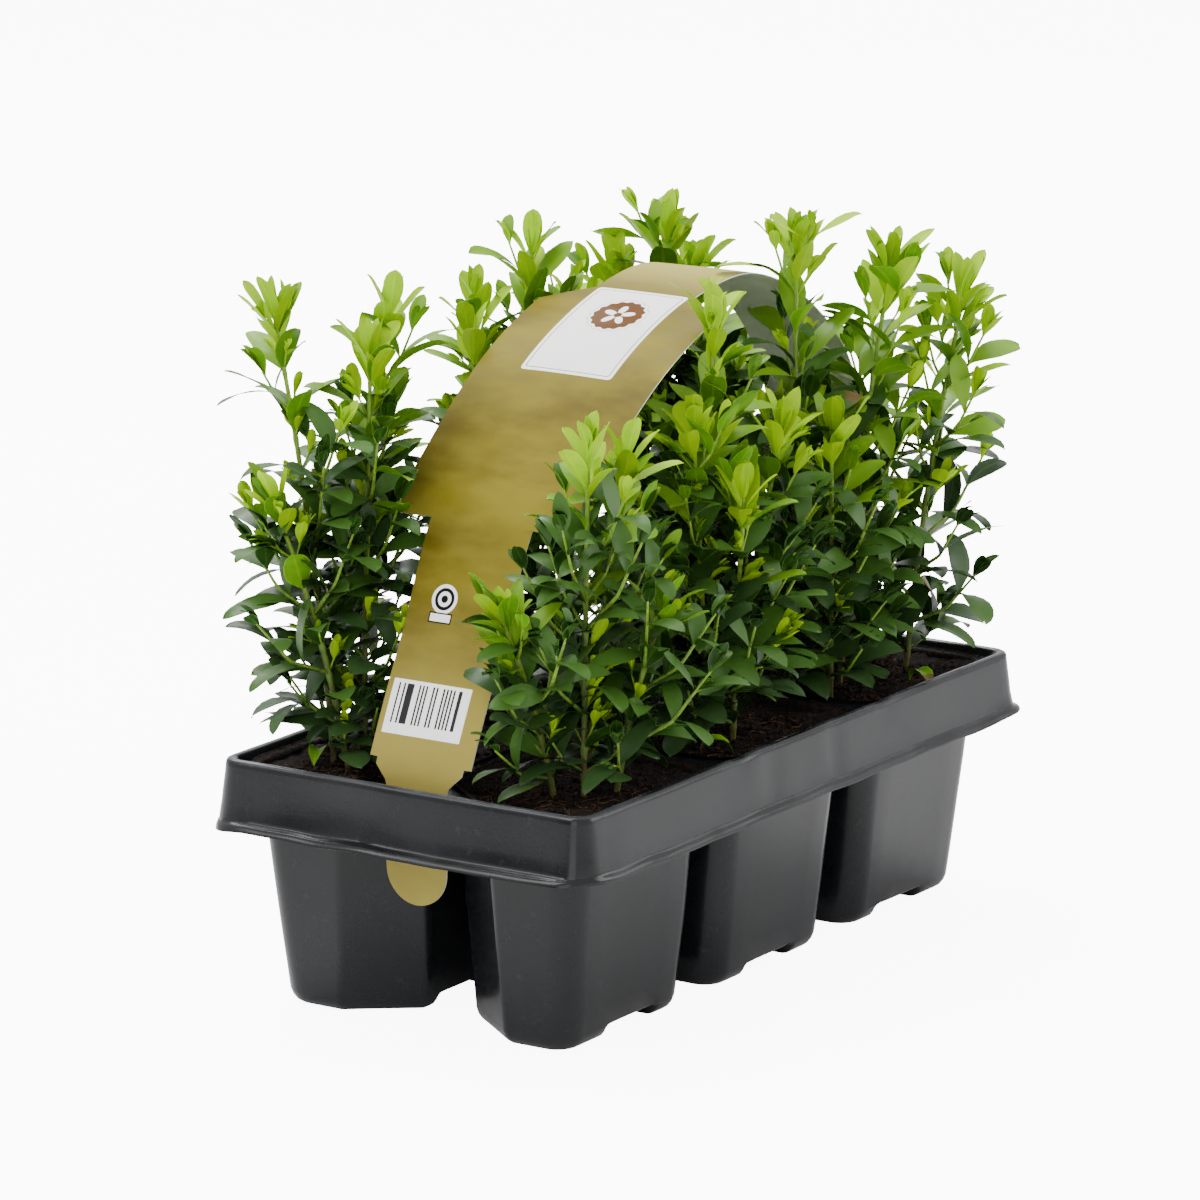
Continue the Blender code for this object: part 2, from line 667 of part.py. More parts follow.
def build_plants(collection, materials, band):
    """Every shoot of every plant, each kept to its own space."""
    axes = {}
    for plant, shoots in SHOOTS.items():
        for number, (foot, tip) in enumerate(shoots, 1):
            axes[f"foliage_{plant}_{number}"] = shoot_axis(foot, tip)
    space = Space(axes, band)
    for name, axis in axes.items():
        build_stem(name.replace("foliage", "stem"), axis, collection, materials["stem"])
        build_foliage(name, axis, space, collection, materials["foliage"])


def main():
    clear_scene()
    model = make_collection("box_plants_in_tray")
    materials = make_materials()
    build_tray(model, materials["tray"])
    build_soil(model, materials["soil"])
    band = build_band(model, materials["band"])
    build_plants(model, materials, band)


main()
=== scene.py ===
import contextlib
import math
import random

import bmesh
import bpy
import numpy as np
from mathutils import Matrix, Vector, noise
from mathutils.bvhtree import BVHTree
from mathutils.kdtree import KDTree


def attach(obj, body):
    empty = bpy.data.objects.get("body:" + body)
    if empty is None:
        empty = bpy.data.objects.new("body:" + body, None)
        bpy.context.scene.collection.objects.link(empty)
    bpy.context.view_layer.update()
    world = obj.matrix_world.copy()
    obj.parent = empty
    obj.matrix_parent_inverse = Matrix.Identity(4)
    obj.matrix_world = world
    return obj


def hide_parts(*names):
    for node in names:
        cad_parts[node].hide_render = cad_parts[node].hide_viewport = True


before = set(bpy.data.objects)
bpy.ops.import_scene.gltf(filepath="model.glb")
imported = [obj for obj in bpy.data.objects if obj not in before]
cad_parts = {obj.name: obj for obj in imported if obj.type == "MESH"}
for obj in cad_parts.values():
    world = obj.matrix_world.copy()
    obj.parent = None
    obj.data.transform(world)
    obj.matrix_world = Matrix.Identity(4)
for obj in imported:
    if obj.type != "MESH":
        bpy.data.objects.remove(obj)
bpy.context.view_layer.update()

MM = 0.001

# Tray: a thin black sheet. Its rim and skirt are rounded rectangles down the upper side:
# half length, half width, height and corner radius, in mm.
WALL = 0.55 * MM
DECK_Z = 82 * MM
RIM_PROFILE = (
    (143.6, 76.5, 62.3, 13.5),      # edge of the flange, which droops
    (143.2, 76.3, 63.5, 13.2),
    (142.1, 75.9, 64.4, 12),
    (140.9, 75.4, 64.8, 10.6),
    (140.4, 75.1, 65.3, 9.6),       # foot of the skirt
    (140.1, 74.9, 66.3, 9.2),
    (139.4, 74.2, 70.5, 8.6),
    (138.8, 73.6, 75.5, 8),
    (138.2, 73.0, 79.8, 7.4),
    (137.9, 72.7, 82.4, 7),
    (137.7, 72.5, 83.7, 6.7),       # rounded shoulder of the rim
    (137.3, 72.1, 84.5, 6.3),
    (136.6, 71.4, 84.9, 5.8),
    (135.4, 70.2, 84.9, 5.2),
    (134.6, 69.4, 84.5, 4.8),       # inner edge of the rim
    (134.1, 68.9, 83.7, 4.5),
    (133.7, 68.5, 82.8, 4.2),
    (133.2, 68.0, 82, 3.8),         # edge of the deck
)
RIM_STEPS = 8                       # facets in a corner of the rim
RIM_RUNS = (34, 70, 34, 70)         # pieces along each straight side
# Cells: sides at the deck and at the ground. They slope, so that cells nest.
CELL_PITCH = 91 * MM
CELL_TOP = dict(outer_x=130.6 * MM, inner_x=51.8 * MM, outer_y=66 * MM, inner_y=4.6 * MM,
                cut_x=112 * MM)
CELL_FOOT = dict(outer_x=124.8 * MM, inner_x=53.2 * MM, outer_y=57.2 * MM, inner_y=9.5 * MM,
                 cut_x=107 * MM)
CELL_CORNER, CUT_CORNER = 10 * MM, 5 * MM
CUT_SLOPE = 1.33                    # of the oblique side of an end cell
CELL_STEPS, CELL_RUNS = 8, 6        # facets in a corner, and pieces along each side
# Height and inset of the rings up a cell: a rounded bottom edge and a flare into the deck.
CELL_RINGS = ((0, 4.2), (0.4, 2.6), (1.2, 1.4), (2.6, 0.5), (4.6, 0), (12, 0), (22, 0), (34, 0),
              (48, 0), (60, 0), (72, 0), (78.5, 0), (80.4, -0.1), (81.2, -0.4))
CELL_LIP = 0.9 * MM                 # how far the wall flares into the deck
CHANNEL_HALF = 15 * MM              # the channel across under each cell
CHANNEL_LENGTH = 120 * MM
CHANNEL_HEIGHT = 4.6 * MM
CHANNEL_SHIFT = 5.5 * MM            # how much nearer the middle it lies under an end cell
CHANNEL_ROUND = 2.2 * MM
FOOT_ROUND, FOOT_HEIGHT = 0.7 * MM, 7 * MM  # sharp edges below this height are rounded
DRAIN_RADIUS = 4.5 * MM
SLOT_X, SLOT_SIZE = 127 * MM, (1.1 * MM, 24.6 * MM)     # the slots for the band's tabs
SKIRT_X, SKIRT_Y, SKIRT_Z = 131 * MM, 66 * MM, 60 * MM     # beyond these lie skirt and rim
SKIRT_RIPPLE, SKIRT_SAG = 0.3 * MM, 0.30 * MM
FLANGE_TOP, FLANGE_WAVE = 65 * MM, 0.5 * MM
LOOSE_TOP, LOOSE_WAVE = 78 * MM, 0.6 * MM   # below this height the cells bulge by chance
ROW_Y = 35 * MM                     # about the middle of a row of cells
INNER_RIM = (129 * MM, 64 * MM)     # half length and half width of the room inside the rim
RIM_PAINTED_HIGHLIGHT = (84.2 * MM, 84.9 * MM)    # a painted highlight lightens the rim's top between these heights
# Dents in the sheet: centre, reach along each axis and push, in mm.
DENTS = (
    ((-25, -74, 76), (6, 9, 10), (0, 0.35, 0)),
    ((15, -74, 75), (4, 9, 9), (0, 0.4, 0)),
    ((-42, -72, 85), (5, 6, 5), (0, 0.2, -0.5)),
    ((50, -71, 85), (6, 6, 5), (0, 0.2, -0.5)),
    ((-130, -75, 72), (8, 8, 9), (0.3, 0.4, 0)),
    ((-139, 20, 74), (6, 22, 9), (0.5, 0, 0)),
    ((-142, -75, 62), (14, 13, 3), (0.9, 0.9, 0.4)),
    ((145, -77, 62), (16, 12, 3), (2.0, -0.8, 2.0)),
    ((-143, 76, 62), (12, 12, 3), (0.2, -0.2, -0.9)),
)

# Compost: its level, its roughness and the crumbs and fibres strewn on each cell.
SOIL_LEVEL = 79 * MM
SOIL_RINGS = 34
SOIL_RUNS = 14
# Height and inset in mm of the rings up a block's sides, and of those that spill over the deck.
SOIL_SIDES = ((6.4, 7), (8.4, 5), (30, 3.5), (66, 1.5), (74, 0.3))
SPILL_RINGS = ((80.5, 0.9), (81.6, 0.6), (82.1, -0.6), (82.3, -1.5), (82.9, -1.9))
SOIL_BANK = 2.4 * MM                # rise of the compost towards the walls
CRUMBS = 520                        # on each cell
CRUMB_RADII = (0.5, 1.5)            # in mm
FIBRES, FIBRE_POINTS = 60, 5        # on each cell, and points along each
FIBRE_LENGTHS = (4, 13)
FIBRE_RADII = (0.08, 0.2)

# Band: a bent strip, from the tab at -X over the plants to the tab at +X (x and z).
BAND_THICK = 0.35 * MM
BAND_CURVE = ((-127, 43), (-127, 62), (-127, 82), (-122, 96), (-106, 128), (-88.5, 164), (-66, 186),
              (-40, 205), (-14, 218), (14, 226.5), (42, 229), (68, 222), (91, 209), (110, 191),
              (122, 165), (127, 132), (128, 104), (127, 82), (127, 62), (127, 43))
BAND_STEP = 2.5 * MM
BAND_COLUMNS = 16
TAB_HALF = 12 * MM
STRAP_HALF = 20 * MM
LABEL_HALF = 35.5 * MM
NECK_HALF = 17 * MM
# Heights on the near foot where the strip widens: over the deck, to the neck and to the strap.
NECK_HEIGHTS = (82.5 * MM, 84 * MM, 88.4 * MM, 90.6 * MM)
LABEL_HEIGHT = 164 * MM             # the label's lower edge, on the near side
LABEL_ENDS = (-1 * MM, 10 * MM)     # X where the label starts to narrow and where it is narrow
CREST_HALF = 19.5 * MM
KNEE_HALF = 12.6 * MM               # half width just above the deck
BAND_NICK = 0.04 * MM               # half the length over which an edge steps in or out
CREST_FLOOR = 170 * MM              # the crest lies above this height
BAND_BOW, BAND_CURL = 0.5 * MM, 0.9 * MM    # how far the strip waves and its sides curl down
BAND_FREE = (95 * MM, 125 * MM)     # heights between which the strip comes free to do so
# Print on the label, along the strip (by X on the crest or height on the near foot) and across.
PRINT_BLUR = 0.12 * MM
FOOT_PAINTED_LIGHT = (150 * MM, 90 * MM)     # heights between which painted light makes the near foot paler towards the bottom
CREST_SHEEN_RISE, CREST_SHEEN_FALL = (2 * MM, 44 * MM), (112 * MM, 62 * MM)   # X where a painted sheen on the crest begins, and where it fades again
WHITE, BROWN, BLACK = "fffefd", "5c3608", "101012"
PANEL_X = (-39 * MM, 10 * MM)
PANEL_HALF = 18 * MM
PANEL_LINE = 1.5 * MM               # its border line lies this far in
SEAL_SHARE, SEAL_SHIFT = 0.66, -0.5 * MM
SEAL_RADIUS = 9.2 * MM
SEAL_SCALLOPS = 16.0
PETAL_REACH, PETAL_START = 6.2 * MM, 1.5 * MM
STAMP_HEIGHT, STAMP_SHIFT = 140 * MM, 6.5 * MM
STAMP_RADIUS = 5 * MM
STAMP_RINGS = ((0, WHITE), (1.2 * MM, BLACK), (2.4 * MM, WHITE), (3.7 * MM, BLACK))
PLATE_DROP, PLATE_SHIFT = 6.4 * MM, 0.2 * MM            # from the stamp to the plate under it
PLATE_BOXES = ((BLACK, (1.8 * MM, 4.5 * MM), 0.3 * MM), (WHITE, (1.3 * MM, 4.0 * MM), 0.2 * MM))
BARS_HEIGHTS = (98 * MM, 114.5 * MM)
BARS_SHIFT, BARS_HALF = 2.5 * MM, 15.4 * MM
BARS_MARGIN, BARS_OFFSET = (2.4 * MM, 2.8 * MM), (1.2 * MM, 0.5 * MM)   # of bars in their patch
BAR_STEP = 0.68 * MM                # width of the narrowest bar

# Plants: where each shoot leaves the soil (x, y), where its highest leaf ends (x, y, z) and the
# length of its end that bears fresh leaves, in mm.
SHOOTS = {
    "far_left": (((-103, 50), (-117, 66, 246), 24), ((-97, 42), (-86, 45, 231), 34),
                 ((-90, 50), (-64, 51, 240), 24), ((-106, 42), (-136, 57, 186), 8)),
    "far_mid": (((-9, 42), (-27, 50, 226), 30), ((-3, 51), (-9, 58, 234), 26),
                ((4, 43), (12, 47, 249), 32), ((11, 50), (41, 46, 230), 30)),
    "far_right": (((88, 42), (95, 46, 243), 32), ((81, 49), (75, 56, 231), 30),
                  ((97, 44), (117, 47, 226), 34), ((98, 33), (131, 33, 196), 20)),
    "near_left": (((-93, -43), (-94, -46, 208), 18), ((-84, -38), (-67, -46, 202), 20),
                  ((-100, -36), (-130, -29, 156), 8), ((-84, -50), (-68, -65, 155), 8)),
    "near_mid": (((-7, -34), (-11, -42, 236), 38), ((-15, -41), (-33, -46, 204), 20),
                 ((-6, -46), (-25, -63, 182), 12), ((5, -39), (22, -52, 196), 18)),
    "near_right": (((58, -30), (61, -29, 250), 34), ((80, -36), (102, -45, 240), 66),
                   ((115, -42), (128, -60, 226), 46), ((64, -42), (50, -50, 189), 20)),
}
REACH_X, REACH_Y = 153 * MM, 89 * MM    # no leaf reaches further out
LEAF_FLOOR, RIM_FLOOR = 80.5 * MM, 86.5 * MM    # lowest leaves, over the compost and the rim
BAND_MARGIN = 0.8 * MM              # leaves keep this clear of the band
AXIS_POINTS = 41
BEND_LEAN, BEND_RISE = 0.3, 0.55    # where a shoot bends, as shares of its lean and its rise
ACROSS = Vector((0.31, 0.95, 0.05))     # no limb runs this way, so it gives each one a side
LUSH_REACH = 55 * MM                # shoots with more fresh leaves than this are thick to the top
UPWARD = Vector((0, 0, 0.9))        # how strongly leaves turn their faces to the sky
LEAF_HALF = 0.23                    # half width of a leaf as a share of its length, for its room
LOWEST_LEAN = -0.12                 # leaves that would hang lift at least this far
TIP_LEAF = 18.5 * MM                # length of the leaves that end a shoot
STEM_RADIUS, STEM_TIP = 1.05 * MM, 0.62 * MM    # radii at its foot and its end
STEM_SIDES, TWIG_SIDES = 10, 6
STEM_STEP = 1.3 * MM
NODE_SWELL, NODE_REACH = 0.28, 1.2 * MM     # a stem swells where leaves grow from it
FIRST_NODE, LAST_GAP = (4, 7), 5 * MM       # below the first leaf pair (mm) and above the last
AXIL_RISE = 1.2 * MM                # twigs start this far above their leaf
CEILING_GAP = 1.5 * MM              # no leaf grows further above the shoot's end
FRESH_MARGIN = 12                   # mm beyond the fresh length by which leaves turn mature
NODE_GAPS = (8.5 * MM, 13.5 * MM)   # between the leaf pairs, at the foot and near the tip
LEAF_KINDS = ("old", "mature", "fresh", "tip")
KIND_AGES = (0.40, 0.64, 0.86)      # youth at which one kind follows another
YOUTH_STRAY = 0.055                 # how far the youth of a leaf strays
AXIL_TURN = 24                      # degrees that a twig turns to either side of its leaf
TWIG_GAP = 11.5 * MM                # between the leaf pairs of a twig
TWIG_BEND = 0.45                    # share of a twig's length at which it turns up
TWIG_TIP = 0.38 * MM
TWIG_LIFT = Vector((0, 0, 0.65))    # twigs turn up past their bend
# Curves: places in the first row, values there in the second. A leaf's length and angle, by how far
# below the shoot's end it grows (mm); a twig's chance, length and angle, by its height (share).
VIGOURS = ((150, 205), (0.80, 1.0))                     # by the height of the shoot's tip, in mm
NODE_LENGTHS = ((8, 30, 60, 150), (20, 23.5, 25, 23))
NODE_ANGLES = ((8, 35, 70, 120), (34, 52, 70, 84))
TWIG_CHANCES = ((0.0, 0.6, 0.85, 1.0), (1.0, 0.9, 0.35, 0.0))
LUSH_CHANCES = ((0.0, 0.6, 0.85, 1.0), (1.0, 0.9, 0.8, 0.0))
TWIG_LENGTHS = ((0, 0.15, 0.35, 0.6, 0.8), (26, 36, 41, 30, 20))
TWIG_ANGLES = ((0, 0.25, 0.7), (66, 50, 36))
TWIG_LEAVES, TWIG_LEANS = (23, 18.5), (70, 48)      # lengths and angles from its foot to its end
LIVELY_CHANCE = 0.42                # that a young twig ends in the lightest leaves
SPROUT_CHANCE, TWIG_SPROUT_CHANCE = 0.88, 0.08
SPROUT_SIZES, TWIG_SPROUT_SIZES = (8, 12.5), (6, 9)     # in mm
SPROUT_RADIUS = 0.34 * MM
FALLEN_LENGTH = 14 * MM
# Stations of a leaf along its length, and the columns across it.
LEAF_ROWS = (0.0, 0.06, 0.14, 0.27, 0.42, 0.57, 0.72, 0.85, 0.94, 0.985, 1.0)
LEAF_COLUMNS = (-1.0, -0.52, 0.0, 0.52, 1.0)
# Outlines of a leaf: width as a share of its length, where it is widest, fullness and bluntness.
LEAF_OUTLINES = ((0.385, 0.49, 0.54, 1.9), (0.43, 0.53, 0.54, 2.2), (0.34, 0.46, 0.56, 1.8),
                 (0.40, 0.56, 0.60, 2.5), (0.37, 0.62, 0.78, 2.7), (0.30, 0.65, 0.82, 2.7))
KIND_OUTLINES = {"old": (0, 1, 2, 3), "mature": (0, 2, 2, 3), "fresh": (0, 2, 3, 4),
                 "tip": (2, 4, 5, 5)}
# How far a leaf bends along its length (radians) and folds up along its rib.
KIND_BENDS = {"old": (0.7, 1.7), "mature": (0.65, 1.7), "fresh": (0.3, 1.1), "tip": (0.05, 0.6)}
KIND_FOLDS = {"old": (0.08, 0.3), "mature": (0.1, 0.34), "fresh": (0.18, 0.42), "tip": (0.25, 0.5)}
# Tries for a leaf that lacks room: share of its length, turn and lean in degrees.
ROOM_TRIES = ((1, 0, 0), (1, 0, -28), (1, 38, -10), (0.9, -38, -10), (0.75, 0, -40), (0.75, 60, 0))
# Pairs at a tip: how far back each starts, its angle in degrees and its length (shares of size).
TIP_PAIRS = ((0.62, 40, 1.08), (0.34, 27, 1.0), (0.15, 15, 0.9), (0.03, 6, 0.66))
# Each plant's habit: the size of its leaves and its share of twigs.
HABITS = {"far_left": (1.1, 0.55), "far_mid": (1.05, 0.8), "far_right": (1.14, 0.85),
          "near_left": (1.06, 0.62), "near_mid": (1.12, 0.82), "near_right": (1.18, 0.85)}
FALLEN_LEAVES = ((-116, 49, 20), (-22, -56, 130), (96, -55, 250))   # x, y in mm and turn

# Finishes. Leaf skins: blade, veins, margin, underside, gloss (its lowest roughness) and shine.
LEAF_SKINS = {
    "old": ("112508", "2c4a1e", "547444", "304c24", 0.33, 0.28),
    "mature": ("193708", "375e1c", "648a44", "3c6020", 0.36, 0.28),
    "fresh": ("4c8204", "709810", "8cb02c", "6c9614", 0.40, 0.26),
    "tip": ("8cb600", "a4cc04", "b0d010", "9ac004", 0.46, 0.14),
}
DAMAGED = 0.995                     # leaves above this tint have a dried end
FLOOR_GLOW = 9.0                    # keeps the floor pale for the camera
WALL_LIGHT, GAP_LIGHT = 1.3, 0.2    # the surroundings, and the dark gap that black gloss mirrors
GAP_HEADINGS = 143.5, 147, 172, 178 # degrees from +X, seen from above: it begins and ends softly
GAP_HEIGHTS = 0.45, 0.15            # how far up it has faded out, and where it starts to
# Soft boxes: place, size of a side and power; all point at the lit spot.
SOFT_LIGHTS = {"side": ((1.1, -1.5, 0.75), 1.1, 15), "back": ((0.5, 0.7, 1.5), 1.1, 38),
               "left": ((-1.2, 0.6, 1.5), 1.0, 21), "front": ((-1.9, -0.5, 0.35), 0.9, 4)}
LIT_SPOT = (0, 0, 0.13)
CAMERA_PLACE = (-1.8831, -1.2208, 0.6528)
CAMERA_DROP, CAMERA_HEADING = 13.34, -56.8      # degrees below level, and about Z
CAMERA_LENS = 203.25


# ---------------------------------------------------------------- modelling helpers

def deselect():
    bpy.ops.object.select_all(action="DESELECT")


def select_only(*pieces):
    deselect()
    for piece in pieces:
        piece.select_set(True)
    bpy.context.view_layer.objects.active = pieces[0]


@contextlib.contextmanager
def editing(piece, kind="VERT"):
    """Edit mode on one piece, with nothing else selected."""
    select_only(piece)
    bpy.ops.object.mode_set(mode="EDIT")
    bpy.ops.mesh.select_mode(type=kind)
    bpy.ops.mesh.select_all(action="DESELECT")
    yield
    bpy.ops.object.mode_set(mode="OBJECT")


def pick(piece, kind, chosen):
    """Select the verts, edges or faces of the piece in edit mode that pass a test."""
    bpy.ops.mesh.select_all(action="DESELECT")
    bm = bmesh.from_edit_mesh(piece.data)
    for element in getattr(bm, kind):
        if chosen(element):
            element.select_set(True)
    bm.select_flush_mode()
    bmesh.update_edit_mesh(piece.data)


def apply_modifier(piece, kind, **settings):
    """Add a modifier with its settings and apply it."""
    select_only(piece)
    modifier = piece.modifiers.new(kind.lower(), kind)
    for key, value in settings.items():
        setattr(modifier, key, value)
    bpy.ops.object.modifier_apply(modifier=modifier.name)


def cut_out(piece, cutter):
    """Cut the cutter's shape out of the piece, and remove the cutter."""
    apply_modifier(piece, "BOOLEAN", operation="DIFFERENCE", object=cutter, solver="EXACT")
    bpy.data.objects.remove(cutter, do_unlink=True)


def give_materials(piece, *materials):
    piece.data.materials.clear()
    for material in materials:
        piece.data.materials.append(material)


def settle_place(piece):
    """Take the object's place into its mesh."""
    select_only(piece)
    bpy.ops.object.transform_apply(location=True, rotation=True, scale=True)


def face_out(piece):
    with editing(piece, "FACE"):
        bpy.ops.mesh.select_all(action="SELECT")
        bpy.ops.mesh.normals_make_consistent(inside=False)


def smooth(piece, angle):
    select_only(piece)
    bpy.ops.object.shade_smooth_by_angle(angle=math.radians(angle))


def loft(name, rings):
    """Draw the first ring as a filled circle's outline and extrude it from ring to ring."""
    deselect()
    bpy.ops.mesh.primitive_circle_add(vertices=len(rings[0]), fill_type="NGON")
    piece = bpy.context.object
    piece.name = name
    for vert, place in zip(piece.data.vertices, rings[0]):
        vert.co = place
    with editing(piece):
        bpy.ops.mesh.select_all(action="SELECT")
        for ring, ahead in zip(rings, rings[1:]):
            here = KDTree(len(ring))
            for i, place in enumerate(ring):
                here.insert(place, i)
            here.balance()
            bpy.ops.mesh.extrude_region_move()
            bm = bmesh.from_edit_mesh(piece.data)
            for vert in bm.verts:
                if vert.select:
                    vert.co = ahead[here.find(vert.co)[1]]
            bmesh.update_edit_mesh(piece.data)
    return piece


def rounded_outline(corners, steps, runs):
    """Points round a polygon of corners (x, y, radius): arcs, and straights cut into runs."""
    arcs = []
    for i, (x, y, radius) in enumerate(corners):
        corner = Vector((x, y))
        back = (Vector(corners[i - 1][:2]) - corner).normalized()
        ahead = (Vector(corners[(i + 1) % len(corners)][:2]) - corner).normalized()
        half = back.angle(ahead) / 2
        centre = corner + (back + ahead).normalized() * (radius / math.sin(half))
        start = corner + back * (radius / math.tan(half)) - centre
        sweep = start.angle_signed(corner + ahead * (radius / math.tan(half)) - centre)
        arc = []
        for step in range(steps + 1):
            turn = -sweep * step / steps
            cos, sin = math.cos(turn), math.sin(turn)
            arc.append(centre + Vector((start.x * cos - start.y * sin, start.x * sin + start.y * cos)))
        arcs.append(arc)
    outline = []
    for arc, ahead, pieces in zip(arcs, arcs[1:] + arcs[:1], runs):
        outline += arc
        outline += [arc[-1].lerp(ahead[0], step / pieces) for step in range(1, pieces)]
    return outline


def inset_corners(corners, inset):
    """Move each side of a counter-clockwise polygon inwards."""
    moved = []
    for i, (x, y, radius) in enumerate(corners):
        corner = Vector((x, y))
        back = (corner - Vector(corners[i - 1][:2])).normalized()
        ahead = (Vector(corners[(i + 1) % len(corners)][:2]) - corner).normalized()
        normal_back = Vector((-back.y, back.x))
        bisector = (normal_back + Vector((-ahead.y, ahead.x))).normalized()
        shifted = corner + bisector * (inset / bisector.dot(normal_back))
        moved.append((shifted.x, shifted.y, max(radius - inset, 0.6 * MM)))
    return moved


def mix(low, high, share):
    return low + (high - low) * share


def read_curve(curve, value):
    return float(np.interp(value, *curve))


def wave(place, scale, seed):
    """Smooth noise from -1 to 1 at a scale in metres."""
    return noise.noise(Vector(place) / scale + Vector((seed, seed * 1.7, -seed)))


# ---------------------------------------------------------------- shader helpers

def add_node(tree, kind, inputs=None, **settings):
    """Add a shader node; each input takes a value or another node's output."""
    made = tree.nodes.new("ShaderNode" + kind)
    for key, value in settings.items():
        setattr(made, key, value)
    set_inputs(tree, made, inputs or {})
    return made


def set_inputs(tree, node, inputs):
    for key, value in inputs.items():
        if isinstance(value, bpy.types.NodeSocket):
            tree.links.new(value, node.inputs[key])
        else:
            node.inputs[key].default_value = value


def calculate(tree, operation, first, second=0.0, third=0.0):
    inputs = {0: first, 1: second, 2: third}
    return add_node(tree, "Math", inputs, operation=operation).outputs[0]


def place_maths(tree, operation, first, second=(0, 0, 0)):
    return add_node(tree, "VectorMath", {0: first, 1: second}, operation=operation).outputs


def separate(tree, place, axis):
    return add_node(tree, "SeparateXYZ", {0: place}).outputs[axis]


def lay(tree, colour, code, mask, strength=None):
    """Lay a colour over another through a mask, as strongly as a number or a second mask says."""
    if strength is not None:
        mask = calculate(tree, "MULTIPLY", mask, strength)
    return add_node(tree, "Mix", {0: mask, 6: colour, 7: rgb(code)}, data_type="RGBA").outputs[2]


def spread(tree, value, low, high, to_low=0.0, to_high=1.0):
    """Map a range onto another with a soft shoulder at both ends."""
    inputs = {"Value": value, "From Min": low, "From Max": high, "To Min": to_low, "To Max": to_high}
    return add_node(tree, "MapRange", inputs, interpolation_type="SMOOTHSTEP").outputs[0]


def new_group(name, inputs, outputs):
    """A shader node group with named sockets; inputs give a kind and a value."""
    group = bpy.data.node_groups.new(name, "ShaderNodeTree")
    for label, (kind, value) in inputs.items():
        socket = group.interface.new_socket(label, in_out="INPUT", socket_type="NodeSocket" + kind)
        socket.default_value = value
    for label, kind in outputs.items():
        group.interface.new_socket(label, in_out="OUTPUT", socket_type="NodeSocket" + kind)
    entry = group.nodes.new("NodeGroupInput")
    leave = group.nodes.new("NodeGroupOutput")
    return group, entry.outputs, leave.inputs


def use_group(tree, group, inputs):
    """Place a group with these inputs, and return its mask."""
    made = tree.nodes.new("ShaderNodeGroup")
    made.node_tree = group
    set_inputs(tree, made, inputs)
    return made.outputs["Mask"]


def new_material(name, **values):
    """A material whose Principled shader has these constant values."""
    material = bpy.data.materials.new(name)
    material.use_nodes = True
    shader = material.node_tree.nodes["Principled BSDF"]
    for key, value in values.items():
        shader.inputs[key.replace("_", " ").title().replace("Ior", "IOR")].default_value = value
    return material, material.node_tree, shader


def rgb(code):
    """Linear colour from a hexadecimal screen colour."""
    parts = [int(code[i:i + 2], 16) / 255 for i in (0, 2, 4)]
    return (*[((p + 0.055) / 1.055) ** 2.4 if p > 0.04045 else p / 12.92 for p in parts], 1.0)


def make_patches_group():
    """Soft uneven patches: a mask from noise."""
    inputs = {"Vector": ("Vector", (0, 0, 0)), "Scale": ("Float", 50.0), "Detail": ("Float", 4.0),
              "Low": ("Float", 0.35), "High": ("Float", 0.65)}
    group, given, result = new_group("uneven_patches", inputs, {"Mask": "Float"})
    cloud = add_node(group, "TexNoise", {"Vector": given["Vector"], "Scale": given["Scale"],
                                         "Detail": given["Detail"], "Roughness": 0.55})
    mask = spread(group, cloud.outputs["Fac"], given["Low"], given["High"])
    group.links.new(mask, result["Mask"])
    return group


def make_specks_group():
    """Small scattered specks: a mask that is 1 on each speck."""
    inputs = {"Vector": ("Vector", (0, 0, 0)), "Scale": ("Float", 200.0), "Size": ("Float", 0.12),
              "Share": ("Float", 0.1)}
    group, given, result = new_group("strewn_specks", inputs, {"Mask": "Float"})
    cells = add_node(group, "TexVoronoi", {"Vector": given["Vector"], "Scale": given["Scale"]})
    near = calculate(group, "LESS_THAN", cells.outputs["Distance"], given["Size"])
    chance = add_node(group, "SeparateColor", {0: cells.outputs["Color"]}).outputs[0]
    kept = calculate(group, "LESS_THAN", chance, given["Share"])
    group.links.new(calculate(group, "MULTIPLY", near, kept), result["Mask"])
    return group


def object_place(tree):
    return add_node(tree, "TexCoord").outputs["Object"]


def relief(tree, shader, height, distance, strength):
    """Bump the surface by a height that varies from 0 to 1."""
    bump = add_node(tree, "Bump", {"Strength": strength, "Distance": distance, "Height": height})
    tree.links.new(bump.outputs[0], shader.inputs["Normal"])


# ---------------------------------------------------------------- tray

def cell_corners(column, sizes):
    """Plan of a cell on the +Y side: the end cells are cut back at the middle of the short side."""
    outer_y, inner_y = sizes["outer_y"], sizes["inner_y"]
    if column == 0:
        half = (sizes["outer_x"] - sizes["inner_x"]) / 2
        return [(half, inner_y, CUT_CORNER), (half, outer_y, CELL_CORNER),
                (-half, outer_y, CELL_CORNER), (-half, inner_y, CUT_CORNER)]
    cut_y = inner_y + (sizes["outer_x"] - sizes["cut_x"]) * CUT_SLOPE
    corners = [(sizes["outer_x"], cut_y, CUT_CORNER),
               (sizes["outer_x"], outer_y, CELL_CORNER),
               (sizes["inner_x"], outer_y, CELL_CORNER),
               (sizes["inner_x"], inner_y, CUT_CORNER),
               (sizes["cut_x"], inner_y, CUT_CORNER)]
    if column > 0:
        return corners
    return [(-x, y, radius) for x, y, radius in reversed(corners)]


def cell_ring(column, row, z, inset, runs=CELL_RUNS):
    """One level ring of a cell."""
    share = z / DECK_Z
    sizes = {key: mix(CELL_FOOT[key], CELL_TOP[key], share) for key in CELL_TOP}
    corners = inset_corners(cell_corners(column, sizes), inset)
    outline = rounded_outline(corners, CELL_STEPS, [runs] * len(corners))
    return [(x, row * y, z) for x, y in outline]


